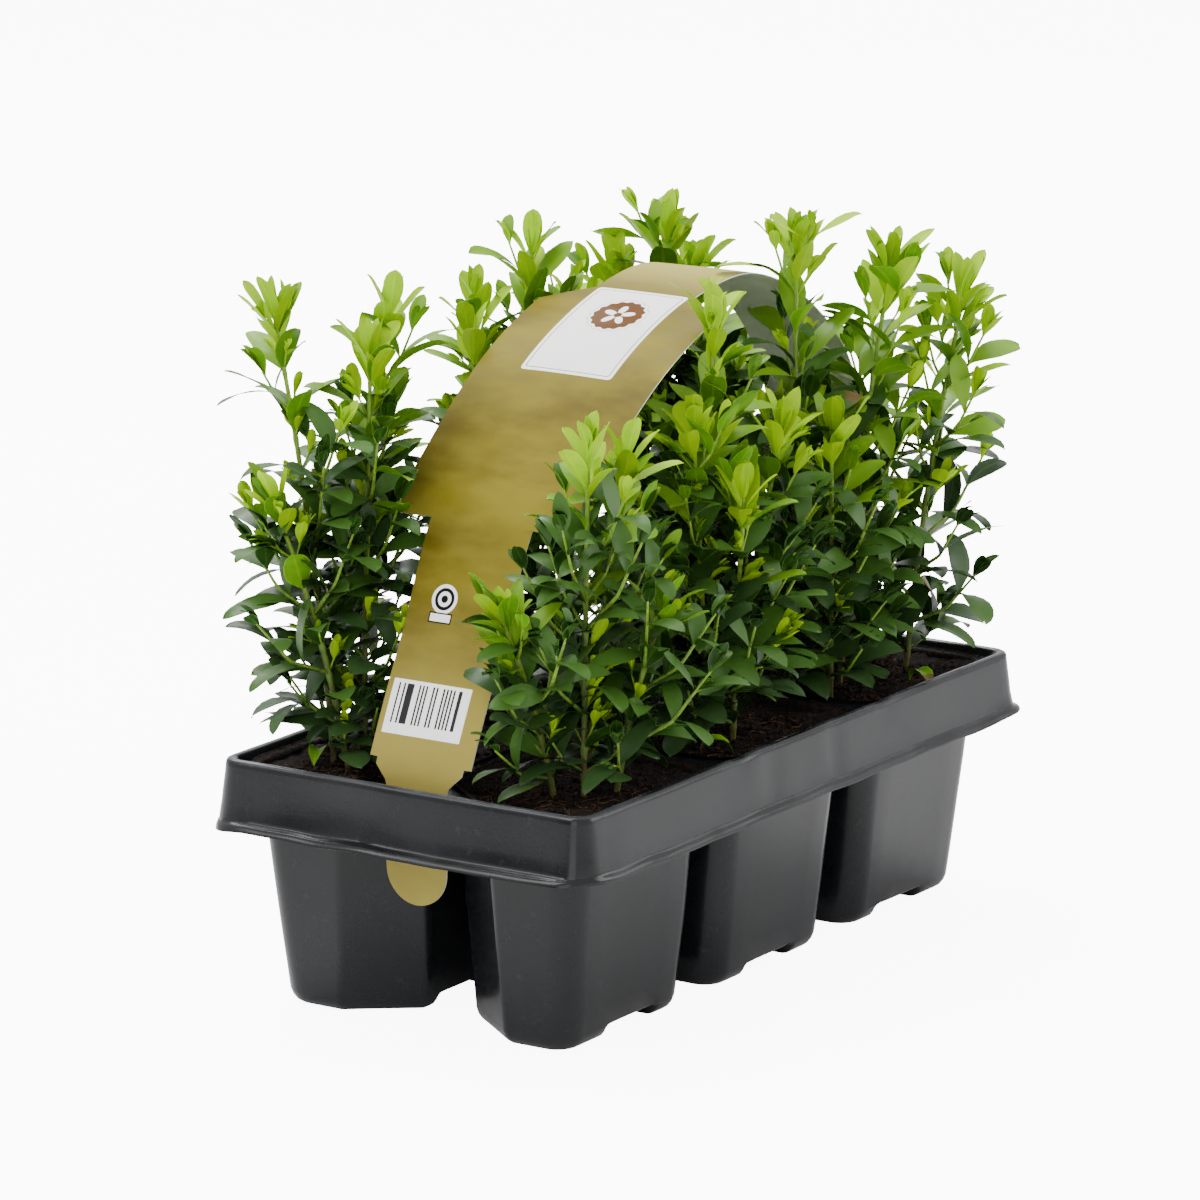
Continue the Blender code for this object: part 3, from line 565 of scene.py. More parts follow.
def cells():
    """Every cell: name, column along X and row across Y."""
    for row, depth in ((1, "far"), (-1, "near")):
        for column, side in ((-1, "left"), (0, "mid"), (1, "right")):
            yield f"{depth}_{side}", column, row


def channel_x(column):
    return column * (CELL_PITCH - CHANNEL_SHIFT)


def model_cell(column, row):
    """A cell's inner wall and floor, with the channel across under it, open at the deck."""
    rings = [cell_ring(column, row, z * MM + WALL, inset * MM + WALL) for z, inset in CELL_RINGS]
    rings.append(cell_ring(column, row, DECK_Z, WALL - CELL_LIP))
    cell = loft("cell", rings)
    deselect()
    bpy.ops.mesh.primitive_cube_add(size=1, location=(channel_x(column), row * ROW_Y, 0),
                                    scale=(2 * (CHANNEL_HALF + WALL), CHANNEL_LENGTH,
                                           2 * (CHANNEL_HEIGHT + WALL)))
    channel = bpy.context.object
    settle_place(channel)
    with editing(channel, "EDGE"):
        pick(channel, "edges", lambda edge: all(vert.co.z > 0 for vert in edge.verts)
             and abs(edge.verts[0].co.y - edge.verts[1].co.y) > MM)
        bpy.ops.mesh.bevel(offset=CHANNEL_ROUND, segments=4)
    cut_out(cell, channel)
    with editing(cell, "FACE"):
        pick(cell, "faces", lambda face: face.normal.z > 0.9
             and face.calc_center_median().z > DECK_Z - 2 * MM)
        bpy.ops.mesh.delete(type="FACE")
    with editing(cell, "EDGE"):
        pick(cell, "edges", lambda edge: edge.is_manifold and edge.calc_face_angle(0) > 0.7
             and max(vert.co.z for vert in edge.verts) < FOOT_HEIGHT)
        bpy.ops.mesh.bevel(offset=FOOT_ROUND, segments=2)
    return cell


def model_slot(side):
    """Outline of the hole that a tab of the band passes through."""
    deselect()
    bpy.ops.mesh.primitive_plane_add(size=1, location=(side * SLOT_X, 0, DECK_Z),
                                     scale=(*SLOT_SIZE, 1))
    slot = bpy.context.object
    settle_place(slot)
    half_x, half_y = (size / 2 for size in SLOT_SIZE)
    for vert in slot.data.vertices:
        vert.co = (side * SLOT_X + math.copysign(half_x, vert.co.x - side * SLOT_X),
                   math.copysign(half_y, vert.co.y), DECK_Z)
    with editing(slot, "FACE"):
        bpy.ops.mesh.select_all(action="SELECT")
        bpy.ops.mesh.delete(type="ONLY_FACE")
    return slot


def formed_place(place):
    """Where a point of the sheet ends up once it has cooled, bowed and been knocked about."""
    x, y, z = place
    moved = Vector(place)
    skirt = min(max((z - SKIRT_Z) / (20 * MM), 0), 1)
    outside = max(abs(x) - SKIRT_X, abs(y) - SKIRT_Y) > 0
    if outside and z > SKIRT_Z:
        long_side = abs(y) - SKIRT_Y > abs(x) - SKIRT_X
        ripple = SKIRT_RIPPLE * wave((x, y, 0), 38 * MM, 3)
        if long_side:
            moved.y += ripple
        else:
            moved.x += ripple
        moved.z += SKIRT_SAG * wave((x, y, 0), 30 * MM, 7) * (1 + 1.6 * (1 - skirt))
        if z < FLANGE_TOP:
            moved.z += FLANGE_WAVE * wave((x, y, 0), 16 * MM, 11)
    elif z < LOOSE_TOP:
        loose = LOOSE_WAVE * min((LOOSE_TOP - z) / (12 * MM), 1)
        moved.x += loose * wave(place, 30 * MM, 15)
        moved.y += loose * wave(place, 30 * MM, 19)
    for centre, reach, push in DENTS:
        away = Vector([(moved[i] - centre[i] * MM) / (reach[i] * MM) for i in range(3)])
        moved += Vector(push) * MM * math.exp(-away.length_squared)
    return moved


def model_tray(materials):
    """Rim and skirt as one lofted sheet, joined to six cells by the deck, and thickened."""
    rings = []
    for sizes in RIM_PROFILE:
        half_x, half_y, z, radius = (size * MM for size in sizes)
        corners = [(half_x, -half_y, radius), (half_x, half_y, radius),
                   (-half_x, half_y, radius), (-half_x, -half_y, radius)]
        outline = rounded_outline(corners, RIM_STEPS, RIM_RUNS)
        rings.append([(x, y, z) for x, y in outline])
    tray = loft("formed_tray", rings)
    with editing(tray, "FACE"):
        pick(tray, "faces", lambda face: len(face.verts) > 4)
        bpy.ops.mesh.delete(type="ONLY_FACE")
    parts = [model_cell(column, row) for _, column, row in cells()]
    parts += [model_slot(side) for side in (-1, 1)]
    select_only(tray, *parts)
    bpy.ops.object.join()
    with editing(tray, "EDGE"):
        pick(tray, "edges", lambda edge: len(edge.link_faces) < 2
             and all(vert.co.z > DECK_Z - 0.1 * MM for vert in edge.verts))
        bpy.ops.mesh.fill(use_beauty=True)
        bpy.ops.mesh.select_all(action="SELECT")
        bpy.ops.mesh.normals_make_consistent(inside=False)
    deck = max(tray.data.polygons, key=lambda face: -abs(face.center.z - DECK_Z) - abs(face.center.y))
    if deck.normal.z < 0:
        tray.data.flip_normals()
    for vert in tray.data.vertices:
        vert.co = formed_place(vert.co)
    give_materials(tray, materials["tray"], materials["cut_edge"])
    apply_modifier(tray, "SOLIDIFY", thickness=WALL, offset=-1, material_offset_rim=1)
    drill_drains(tray)
    smooth(tray, 38)
    finish(tray, "tray", "tray")


def drill_drains(tray):
    """A round hole in the floor of each cell."""
    for _, column, row in cells():
        centre_y = row * (CELL_FOOT["outer_y"] + CELL_FOOT["inner_y"]) / 2
        deselect()
        bpy.ops.mesh.primitive_cylinder_add(vertices=24, radius=DRAIN_RADIUS, depth=6 * WALL,
                                            location=(channel_x(column), centre_y, CHANNEL_HEIGHT))
        drill = bpy.context.object
        settle_place(drill)
        cut_out(tray, drill)


def finish(piece, slot, *nodes):
    """The piece rides on the one body and stands for its nodes, which are hidden; the slot is not
    used.
    """
    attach(piece, "root")
    if nodes:
        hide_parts(*nodes)


# ---------------------------------------------------------------- compost

def soil_height(x, y):
    """Height of the compost: lumps and a fine grain round its level."""
    lumps = 1.3 * wave((x, y, 0), 14 * MM, 21) + 0.9 * wave((x, y, 0), 5 * MM, 25)
    grain = 0.55 * wave((x, y, 0), 1.9 * MM, 29)
    return SOIL_LEVEL + (lumps + grain - 0.2) * MM


def model_compost(name, column, row, material):
    """A block of compost, lofted in towards the middle of its rough top, whose border it returns."""
    inset = WALL + 0.25 * MM
    rings = [cell_ring(column, row, z * MM, edge * MM + inset, SOIL_RUNS) for z, edge in SOIL_SIDES]
    rings += [cell_ring(column, row, z * MM, edge * MM, SOIL_RUNS) for z, edge in SPILL_RINGS]
    border = cell_ring(column, row, SOIL_LEVEL - MM, -1.2 * MM, SOIL_RUNS)
    centre = sum((Vector(place) for place in border), Vector()) / len(border)
    for step in range(SOIL_RINGS):
        share = 1 - (step / SOIL_RINGS) ** 0.9
        ring = []
        for place in border:
            spot = centre.lerp(Vector(place), share)
            bank = SOIL_BANK * share ** 7
            ring.append((spot.x, spot.y, soil_height(spot.x, spot.y) + bank))
        rings.append(ring)
    block = loft(f"compost_{name}", rings)
    face_out(block)
    give_materials(block, material)
    smooth(block, 60)
    finish(block, "compost", f"soil_{name}")
    return border


def joined_mesh(name, places, faces, material, uv=None, smooth_faces=True):
    """One piece from arrays of places and faces; a face that ends where it began has a corner less."""
    mesh = bpy.data.meshes.new(name)
    keep = np.ones(faces.shape, dtype=bool)
    keep[faces[:, 0] == faces[:, -1], -1] = False
    loops = faces[keep].astype(np.int32)
    sizes = keep.sum(axis=1)
    mesh.vertices.add(len(places))
    mesh.vertices.foreach_set("co", places.astype(np.float32).ravel())
    mesh.loops.add(len(loops))
    mesh.loops.foreach_set("vertex_index", loops)
    mesh.polygons.add(len(faces))
    mesh.polygons.foreach_set("loop_start", (np.cumsum(sizes) - sizes).astype(np.int32))
    mesh.polygons.foreach_set("use_smooth", np.full(len(faces), smooth_faces))
    if uv is not None:
        layer = mesh.uv_layers.new(name="surface")
        layer.data.foreach_set("uv", uv[loops].astype(np.float32).ravel())
    mesh.update(calc_edges=True)
    mesh.materials.append(material)
    piece = bpy.data.objects.new(name, mesh)
    bpy.context.scene.collection.objects.link(piece)
    return piece


def crumb_patterns():
    """Three lumps of few faces, each pulled out of round."""
    patterns = []
    for seed in range(3):
        deselect()
        bpy.ops.mesh.primitive_ico_sphere_add(subdivisions=1, radius=1)
        lump = bpy.context.object
        with editing(lump):
            bpy.ops.mesh.select_all(action="SELECT")
            bpy.ops.transform.vertex_random(offset=0.35, seed=seed)
            bpy.ops.transform.resize(value=(1.0, 0.75, 0.6))
        places = np.array([vert.co[:] for vert in lump.data.vertices])
        faces = np.array([face.vertices[:] for face in lump.data.polygons])
        patterns.append((places, faces))
        bpy.data.objects.remove(lump, do_unlink=True)
    return patterns


def strew_crumbs(borders, material):
    """Crumbs of compost and bark on every cell, as one piece."""
    patterns = crumb_patterns()
    rng = np.random.default_rng(5)
    places, faces, count = [], [], 0
    for border in borders:
        for _ in range(CRUMBS):
            spot = random_spot(border, rng)
            pattern, corners = patterns[rng.integers(3)]
            radius = rng.uniform(*CRUMB_RADII) * MM
            turned = pattern @ random_turn(rng) * radius
            places.append(turned + [spot[0], spot[1], soil_height(*spot) + radius * 0.25])
            faces.append(corners + count)
            count += len(pattern)
    crumbs = joined_mesh("compost_crumbs", np.concatenate(places), np.concatenate(faces), material,
                         smooth_faces=False)
    finish(crumbs, "compost")


def random_spot(border, rng):
    """A spot inside a cell's outline, evenly spread."""
    centre = np.mean(border, axis=0)[:2]
    corner = np.array(border[rng.integers(len(border))])[:2]
    return centre + (corner - centre) * 0.97 * math.sqrt(rng.uniform())


def random_turn(rng):
    """A random rotation matrix."""
    matrix, _ = np.linalg.qr(rng.normal(size=(3, 3)))
    return matrix * np.sign(np.linalg.det(matrix))


def strew_fibres(borders, material):
    """Light fibres and bits of root that lie on the compost."""
    rng = np.random.default_rng(9)
    tubes = []
    for border in borders:
        for _ in range(FIBRES):
            spot = random_spot(border, rng)
            turn = rng.uniform(0, 2 * math.pi)
            length = rng.uniform(*FIBRE_LENGTHS) * MM
            curl = rng.uniform(-1.6, 1.6)
            points = []
            for share in np.linspace(-0.5, 0.5, FIBRE_POINTS):
                along = length * share
                bend = curl * share ** 2 * length
                x = spot[0] + along * math.cos(turn) - bend * math.sin(turn)
                y = spot[1] + along * math.sin(turn) + bend * math.cos(turn)
                if abs(x) > INNER_RIM[0] or abs(y) > INNER_RIM[1] + MM:
                    continue
                points.append(Vector((x, y, soil_height(x, y) + 0.5 * MM + 0.6 * MM * rng.uniform())))
            if len(points) > 2:
                radius = rng.uniform(*FIBRE_RADII) * MM
                tubes.append((points, [radius] * len(points)))
    finish(tube_piece("compost_fibres", tubes, 4, material), "compost")


# ---------------------------------------------------------------- tubes

def tube_rings(points, radii, sides, ridge=0.0):
    """Rings round a row of points, with a soft ridge at four corners if asked."""
    places = []
    turns = 2 * math.pi * np.arange(sides) / sides
    for i, point in enumerate(points):
        ahead = points[min(i + 1, len(points) - 1)] - points[max(i - 1, 0)]
        side = ahead.cross(ACROSS).normalized()
        up = ahead.cross(side).normalized()
        radius = radii[i] * (1 + ridge * np.cos(4 * turns))
        ring = np.outer(np.cos(turns) * radius, side) + np.outer(np.sin(turns) * radius, up)
        places.append(ring + np.array(point))
    return np.concatenate(places)


def tube_piece(name, tubes, sides, material, ridge=0.0, ages=None):
    """Tapering tubes with closed ends, joined into one piece; v runs up and u round each."""
    places, faces, uvs, count = [], [], [], 0
    around = np.arange(sides)
    turned = (around + 1) % sides
    for number, (points, radii) in enumerate(tubes):
        rings = tube_rings(points, radii, sides, ridge)
        rows = len(points)
        ends = np.array([points[0], points[-1]])
        places.append(np.concatenate([rings, ends]))
        starts = np.arange(rows - 1)[:, None] * sides + count
        low = (starts + around).ravel()
        low_next = (starts + turned).ravel()
        faces.append(np.stack([low, low_next, low_next + sides, low + sides], axis=1))
        foot, top = rows * sides + count, rows * sides + 1 + count
        last = (rows - 1) * sides + count
        caps = [(foot, turned[i] + count, i + count, foot) for i in range(sides)]
        caps += [(top, i + last, turned[i] + last, top) for i in range(sides)]
        faces.append(np.array(caps))
        age = ages[number] if ages else (0.0, 1.0)
        v = np.repeat(np.linspace(age[0], age[1], rows), sides)
        u = np.tile(around / sides, rows)
        uvs.append(np.concatenate([np.stack([u, v], axis=1), [[0, age[0]], [0, age[1]]]]))
        count += rows * sides + 2
    return joined_mesh(name, np.concatenate(places), np.concatenate(faces), material,
                       np.concatenate(uvs))


# ---------------------------------------------------------------- band

def smooth_path(points, steps):
    """Catmull-Rom curve through the points."""
    padded = [points[0] * 2 - points[1], *points, points[-1] * 2 - points[-2]]
    path = []
    for a, b, c, d in zip(padded, padded[1:], padded[2:], padded[3:]):
        for step in range(steps):
            t = step / steps
            path.append(0.5 * (2 * b + (c - a) * t + (2 * a - 5 * b + 4 * c - d) * t * t
                               + (3 * b - a - 3 * c + d) * t ** 3))
    path.append(points[-1])
    return path


class BandShape:
    """The strip's centre line by arc length, and its half width there."""

    def __init__(self):
        path = smooth_path([Vector((x * MM, 0, z * MM)) for x, z in BAND_CURVE], 40)
        self.line = np.array([(p.x, p.z) for p in path])
        steps = np.linalg.norm(np.diff(self.line, axis=0), axis=1)
        self.lengths = np.concatenate([[0], np.cumsum(steps)])
        self.total = self.lengths[-1]
        self.marks = self.width_marks()

    def length_at_height(self, z, near=True):
        """Arc length where the near or the far foot reaches a height."""
        top = np.argmax(self.line[:, 1])
        rows = slice(0, top) if near else slice(None, top, -1)
        return np.interp(z, self.line[rows, 1], self.lengths[rows])

    def length_at_x(self, x):
        """Arc length where the crest passes over an X."""
        rows = self.line[:, 1] > CREST_FLOOR
        return np.interp(x, self.line[rows, 0], self.lengths[rows])

    def width_marks(self):
        """Arc lengths and half widths between which the width changes evenly."""
        edge = BAND_NICK
        deck, neck_low, neck_high, strap = [self.length_at_height(z) for z in NECK_HEIGHTS]
        label = self.length_at_height(LABEL_HEIGHT)
        narrow_start, narrow_end = [self.length_at_x(x) for x in LABEL_ENDS]
        marks = [(0, TAB_HALF), (deck, TAB_HALF), (neck_low, KNEE_HALF), (neck_high, NECK_HALF),
                 (strap - edge, NECK_HALF), (strap + edge, STRAP_HALF),
                 (label - edge, STRAP_HALF), (label + edge, LABEL_HALF),
                 (narrow_start, LABEL_HALF), (narrow_end, CREST_HALF)]
        far = [self.length_at_height(z, near=False) for z in NECK_HEIGHTS]
        marks += [(far[3] - edge, STRAP_HALF), (far[3] + edge, NECK_HALF), (far[2], NECK_HALF),
                  (far[1], KNEE_HALF), (far[0], TAB_HALF), (self.total, TAB_HALF)]
        return marks

    def place(self, s):
        """X and Z of the centre line."""
        return np.interp(s, self.lengths, self.line[:, 0]), np.interp(s, self.lengths, self.line[:, 1])

    def half_width(self, s):
        half = np.interp(s, [mark[0] for mark in self.marks], [mark[1] for mark in self.marks])
        from_end = min(s, self.total - s)
        if from_end < TAB_HALF:
            rounding = (TAB_HALF - from_end) / TAB_HALF
            half = TAB_HALF * math.sqrt(max(1 - rounding ** 2, 0.003))
        return half

    def stations(self):
        """Arc lengths of the rows of the strip: even, with both sides of each step."""
        even = np.arange(0, self.total, BAND_STEP)
        ends = [0.15, 0.5, 1.1, 2, 3.2, 4.6, 6.2, 8.2, 10.2]
        extra = [mark[0] for mark in self.marks] + [end * MM for end in ends]
        extra += [self.total - end * MM for end in ends]
        close = [s for s in even if min(abs(s - other) for other in extra) > 0.35 * BAND_STEP]
        return np.array(sorted({round(float(s), 7) for s in close + extra}))


def model_band(shape, materials):
    """The carrying strip: a grid laid along the curve, cut to its outline and thickened."""
    stations = shape.stations()
    deselect()
    bpy.ops.mesh.primitive_grid_add(x_subdivisions=len(stations) - 1, y_subdivisions=BAND_COLUMNS,
                                    size=2)
    band = bpy.context.object
    band.name = "carrying_band"
    flat = []
    for vert in band.data.vertices:
        row = round((vert.co.x + 1) / 2 * (len(stations) - 1))
        s = stations[row]
        across = vert.co.y
        half = shape.half_width(s)
        x, z = shape.place(s)
        ripple = BAND_BOW * wave((s, across * half, 0), 45 * MM, 31)
        curl = -BAND_CURL * (abs(across) * half / LABEL_HALF) ** 2
        free = read_curve((BAND_FREE, (0, 1)), z)
        ahead = np.array(shape.place(min(s + MM, shape.total))) - np.array(shape.place(max(s - MM, 0)))
        ahead /= np.linalg.norm(ahead)
        lift = (ripple + curl) * free
        flat.append((s, across * half))
        vert.co = (x - ahead[1] * lift, across * half, z + ahead[0] * lift)
    layer = band.data.uv_layers[0]
    for loop in band.data.loops:
        layer.data[loop.index].uv = flat[loop.vertex_index]
    crest = max(band.data.polygons, key=lambda face: face.center.z)
    if crest.normal.z < 0:
        band.data.flip_normals()
    give_materials(band, *[materials[name] for name in ("band_print", "band_inside", "band_edge")])
    apply_modifier(band, "SOLIDIFY", thickness=BAND_THICK, offset=0, material_offset=1,
                   material_offset_rim=2)
    smooth(band, 50)
    finish(band, "band", "band")
    return band


# ---------------------------------------------------------------- plants

def shoot_axis(foot, tip):
    """A shoot's curve: upright at the soil, then leaning out to its tip."""
    start = Vector((foot[0] * MM, foot[1] * MM, SOIL_LEVEL - 0.6 * MM))
    end = Vector(tip) * MM
    lean = Vector((end.x - start.x, end.y - start.y, 0))
    bend = start + lean * BEND_LEAN + Vector((0, 0, (end.z - start.z) * BEND_RISE))
    axis = []
    for step in range(AXIS_POINTS):
        t = step / (AXIS_POINTS - 1)
        axis.append(start * (1 - t) ** 2 + bend * 2 * t * (1 - t) + end * t * t)
    return axis


def point_on(axis, share):
    """Point and direction at a share of the axis."""
    place = min(max(share, 0.0), 0.9999) * (len(axis) - 1)
    i = int(place)
    return axis[i].lerp(axis[i + 1], place - i), (axis[i + 1] - axis[i]).normalized()


def spread_direction(tangent, turn, angle):
    """Direction that leaves the stem at an angle, turned round it; both in degrees."""
    turn, angle = math.radians(turn), math.radians(angle)
    across = tangent.cross(ACROSS).normalized()
    other = tangent.cross(across).normalized()
    radial = across * math.cos(turn) + other * math.sin(turn)
    return (tangent * math.cos(angle) + radial * math.sin(angle)).normalized()


class Plant:
    """One plant while it grows: its leaves by kind, its twigs and its stems."""

    def __init__(self, name, band_tree, rng):
        self.band_tree = band_tree
        self.rng = rng
        self.leaf_scale, self.twig_share = HABITS[name]
        self.leaves = {kind: [] for kind in LEAF_KINDS}
        self.stems = []
        self.twigs = []
        self.twig_ages = []

    def is_outside(self, spot):
        return abs(spot.x) > REACH_X or abs(spot.y) > REACH_Y or spot.z > self.ceiling

    def has_room(self, root, along, side, face, length, rise, bend):
        """True where a bent leaf stays within reach and clear of the band."""
        spots = []
        for share in (0.55, 1.0):
            slope = rise - bend * share
            ahead = (math.sin(rise) - math.sin(slope)) / bend
            lift = (math.cos(slope) - math.cos(rise)) / bend
            spots.append(root + (along * ahead + face * lift) * length)
        middle, tip = spots
        aside = side * (LEAF_HALF * length)
        corners = [root, middle + aside, tip, middle - aside]
        for spot in corners[1:]:
            if self.is_outside(spot):
                return False
            over_rim = abs(spot.x) > INNER_RIM[0] or abs(spot.y) > INNER_RIM[1]
            if spot.z < (RIM_FLOOR if over_rim else LEAF_FLOOR):
                return False
        blade = BVHTree.FromPolygons(corners, [(0, 1, 2), (0, 2, 3)])
        if self.band_tree.overlap(blade):
            return False
        return all(self.band_tree.find_nearest(spot)[3] > BAND_MARGIN for spot in corners[1:])

    def add_leaf(self, root, tangent, turn, angle, length, youth):
        """One leaf, turned or made smaller where there is little room."""
        rng = self.rng
        length *= self.leaf_scale
        kind = self.kind_of(youth + rng.gauss(0, YOUTH_STRAY))
        bend = rng.uniform(*KIND_BENDS[kind])
        rise = 0.4 * bend
        fold = rng.uniform(*KIND_FOLDS[kind])
        outline = rng.choice(KIND_OUTLINES[kind])
        for share, shift, lean in ROOM_TRIES:
            along = spread_direction(tangent, turn + shift, angle + lean)
            if along.z < LOWEST_LEAN:
                along.z = LOWEST_LEAN
                along.normalize()
            side = along.cross((tangent + UPWARD).normalized())
            if side.length < 0.05:
                side = along.cross(ACROSS)
            side.normalize()
            face = side.cross(along)
            roll = math.radians(rng.gauss(0, 12))
            side, face = (side * math.cos(roll) + face * math.sin(roll),
                          face * math.cos(roll) - side * math.sin(roll))
            if self.has_room(root, along, side, face, length * share, rise, bend):
                self.leaves[kind].append((root, along, side, face, length * share, outline,
                                          rise, bend, fold, rng.random()))
                return

    def kind_of(self, youth):
        for kind, limit in zip(LEAF_KINDS, KIND_AGES):
            if youth < limit:
                return kind
        return LEAF_KINDS[-1]

    def add_twig(self, points, radii, ages):
        """A twig, if it stays clear of the band."""
        for a, b in zip(points, points[1:]):
            hit = self.band_tree.ray_cast(a, (b - a).normalized(), (b - a).length + MM)
            if hit[0] is not None:
                return False
        if any(self.is_outside(point) for point in points):
            return False
        self.twigs.append((points, radii))
        self.twig_ages.append(ages)
        return True

    def grow_tip(self, end, tangent, size, youth, pairs=len(TIP_PAIRS)):
        """Narrow young leaves held close round the end of a stem."""
        spin = self.rng.uniform(0, 90)
        for pair, (back, angle, share) in enumerate(TIP_PAIRS[-pairs:]):
            root = end - tangent * (back * size)
            for side in (0, 180):
                turn = spin + 90 * pair + side + self.rng.uniform(-16, 16)
                lean = angle + self.rng.uniform(-5, 7)
                length = size * share * self.rng.uniform(0.82, 1.12)
                self.add_leaf(root, tangent, turn, lean, length, youth)

    def grow_sprout(self, root, tangent, turn, size, youth):
        """A short stalk in an axil with a few young leaves."""
        rng = self.rng
        stalk = spread_direction(tangent, turn, rng.uniform(24, 42))
        end = root + stalk * (size * rng.uniform(0.4, 1.2))
        if self.add_twig([root, root.lerp(end, 0.5), end], [SPROUT_RADIUS] * 3, (0.75, 1.0)):
            self.grow_tip(end, stalk, size, youth, rng.choice((2, 3)))

    def grow_twig(self, root, tangent, spin, length, youth, angle):
        """A side twig with pairs of leaves, a few sprouts and a young tip."""
        rng = self.rng
        direction = spread_direction(tangent, spin + AXIL_TURN * rng.uniform(-1, 1), angle)
        bend = root + direction * (TWIG_BEND * length)
        end = bend + (direction + TWIG_LIFT).normalized() * ((1 - TWIG_BEND) * length)
        points = [root.lerp(bend, share) for share in (0, 0.33, 0.66)]
        points += [bend.lerp(end, share) for share in (0, 0.33, 0.66, 1)]
        points = smooth_path(points, 2)
        thick = 0.42 * MM + 0.011 * length
        radii = [mix(thick, TWIG_TIP, i / (len(points) - 1)) for i in range(len(points))]
        if not self.add_twig(points, radii, (youth, min(youth + 0.3, 1))):
            return
        pairs = max(1, round(length / TWIG_GAP) - 1)
        for pair in range(pairs):
            share = (pair + 0.8) / (pairs + 0.6)
            spot, ahead = point_on(points, share)
            leaf = mix(*TWIG_LEAVES, share) * MM * rng.uniform(0.85, 1.12)
            for side in (0, 180):
                lean = mix(*TWIG_LEANS, share) + rng.uniform(-12, 12)
                turn = 90 * pair + side + rng.uniform(-14, 14)
                self.add_leaf(spot, ahead, turn, lean, leaf, youth + 0.12 * share)
                if rng.random() < TWIG_SPROUT_CHANCE:
                    size = rng.uniform(*TWIG_SPROUT_SIZES) * MM
                    self.grow_sprout(spot, ahead, turn, size, youth + 0.2)
        spot, ahead = point_on(points, 1)
        lively = rng.random() < LIVELY_CHANCE * youth
        size = rng.uniform(10, 12) if lively else rng.uniform(12, 16)
        self.grow_tip(spot, ahead, size * MM, 0.95 if lively else youth + 0.08, 2 + lively)

    def youth_at(self, drop):
        """How young a leaf is that grows this far below the end of its shoot."""
        fresh = self.fresh_reach
        drops = (0, 14 * MM, fresh, fresh + 45 * MM, fresh + 120 * MM)
        return self.vigour * read_curve((drops, (1.0, 0.88, 0.67, 0.44, 0.1)), drop)

    def grow_shoot(self, foot, tip, fresh):
        """One shoot: a leader with opposite pairs, twigs and sprouts in their axils, and a tip."""
        rng = self.rng
        axis = shoot_axis(foot, tip)
        reach = sum((b - a).length for a, b in zip(axis, axis[1:]))
        self.ceiling = tip[2] * MM + CEILING_GAP
        self.vigour = read_curve(VIGOURS, tip[2])
        self.fresh_reach = (fresh + FRESH_MARGIN) * MM
        last = 1 - 0.9 * TIP_LEAF / reach
        nodes = []
        travelled = rng.uniform(*FIRST_NODE) * MM
        while travelled < (last * reach) - LAST_GAP:
            nodes.append(travelled / reach)
            travelled += mix(*NODE_GAPS, travelled / reach) * rng.uniform(0.85, 1.15)
        self.stems.append(self.stem_tube(axis, nodes, last, reach))
        spin = rng.uniform(0, 90)
        for number, share in enumerate(nodes):
            root, tangent = point_on(axis, share)
            turn = spin + 90 * number + rng.uniform(-8, 8)
            self.grow_node(root, tangent, turn, share / last, (last - share) * reach)
        end, tangent = point_on(axis, last)
        self.grow_tip(end, tangent, TIP_LEAF, self.vigour)

    def grow_node(self, root, tangent, turn, height, drop):
        """The two leaves of a node and what grows in their axils."""
        rng = self.rng
        youth = self.youth_at(drop)
        chances = LUSH_CHANCES if self.fresh_reach > LUSH_REACH else TWIG_CHANCES
        for side in (0, 180):
            length = read_curve(NODE_LENGTHS, drop / MM) * MM
            angle = read_curve(NODE_ANGLES, drop / MM) + rng.gauss(0, 9)
            self.add_leaf(root, tangent, turn + side, angle, length * rng.uniform(0.88, 1.12), youth)
            above = root + tangent * AXIL_RISE
            if rng.random() < self.twig_share * read_curve(chances, height):
                reach = read_curve(TWIG_LENGTHS, height) * MM
                lean = read_curve(TWIG_ANGLES, height) + rng.uniform(-8, 8)
                reach *= rng.uniform(0.7, 1.15)
                self.grow_twig(above, tangent, turn + side, reach, youth * 0.9, lean)
            elif rng.random() < SPROUT_CHANCE:
                size = rng.uniform(*SPROUT_SIZES) * MM
                self.grow_sprout(above, tangent, turn + side, size, 0.93)

    def drop_leaf(self, spot, turn):
        """A yellowing leaf that lies curled on the compost."""
        turn = math.radians(turn)
        along, up = Vector((math.cos(turn), math.sin(turn), 0)), Vector((0, 0, 1))
        outline, rise, bend, fold, tint = 1, 1.3, 2.4, 0.6, 0.999
        self.leaves["fresh"].append((spot, along, up.cross(along), up, FALLEN_LENGTH, outline,
                                     rise, bend, fold, tint))

    def stem_tube(self, axis, nodes, last, reach):
        """Points and radii of a stem, swollen at each node."""
        count = int(last * reach / STEM_STEP)
        points, radii = [], []
        for step in range(count + 1):
            share = last * step / count
            point, _ = point_on(axis, share)
            radius = mix(STEM_RADIUS, STEM_TIP, (share / last) ** 2)
            for node in nodes:
                away = (share - node) * reach / NODE_REACH
                radius *= 1 + NODE_SWELL * math.exp(-away * away)
            radius *= 1 + 0.05 * wave(point, 2.5 * MM, 37)
            points.append(point)
            radii.append(radius)
        return points, radii


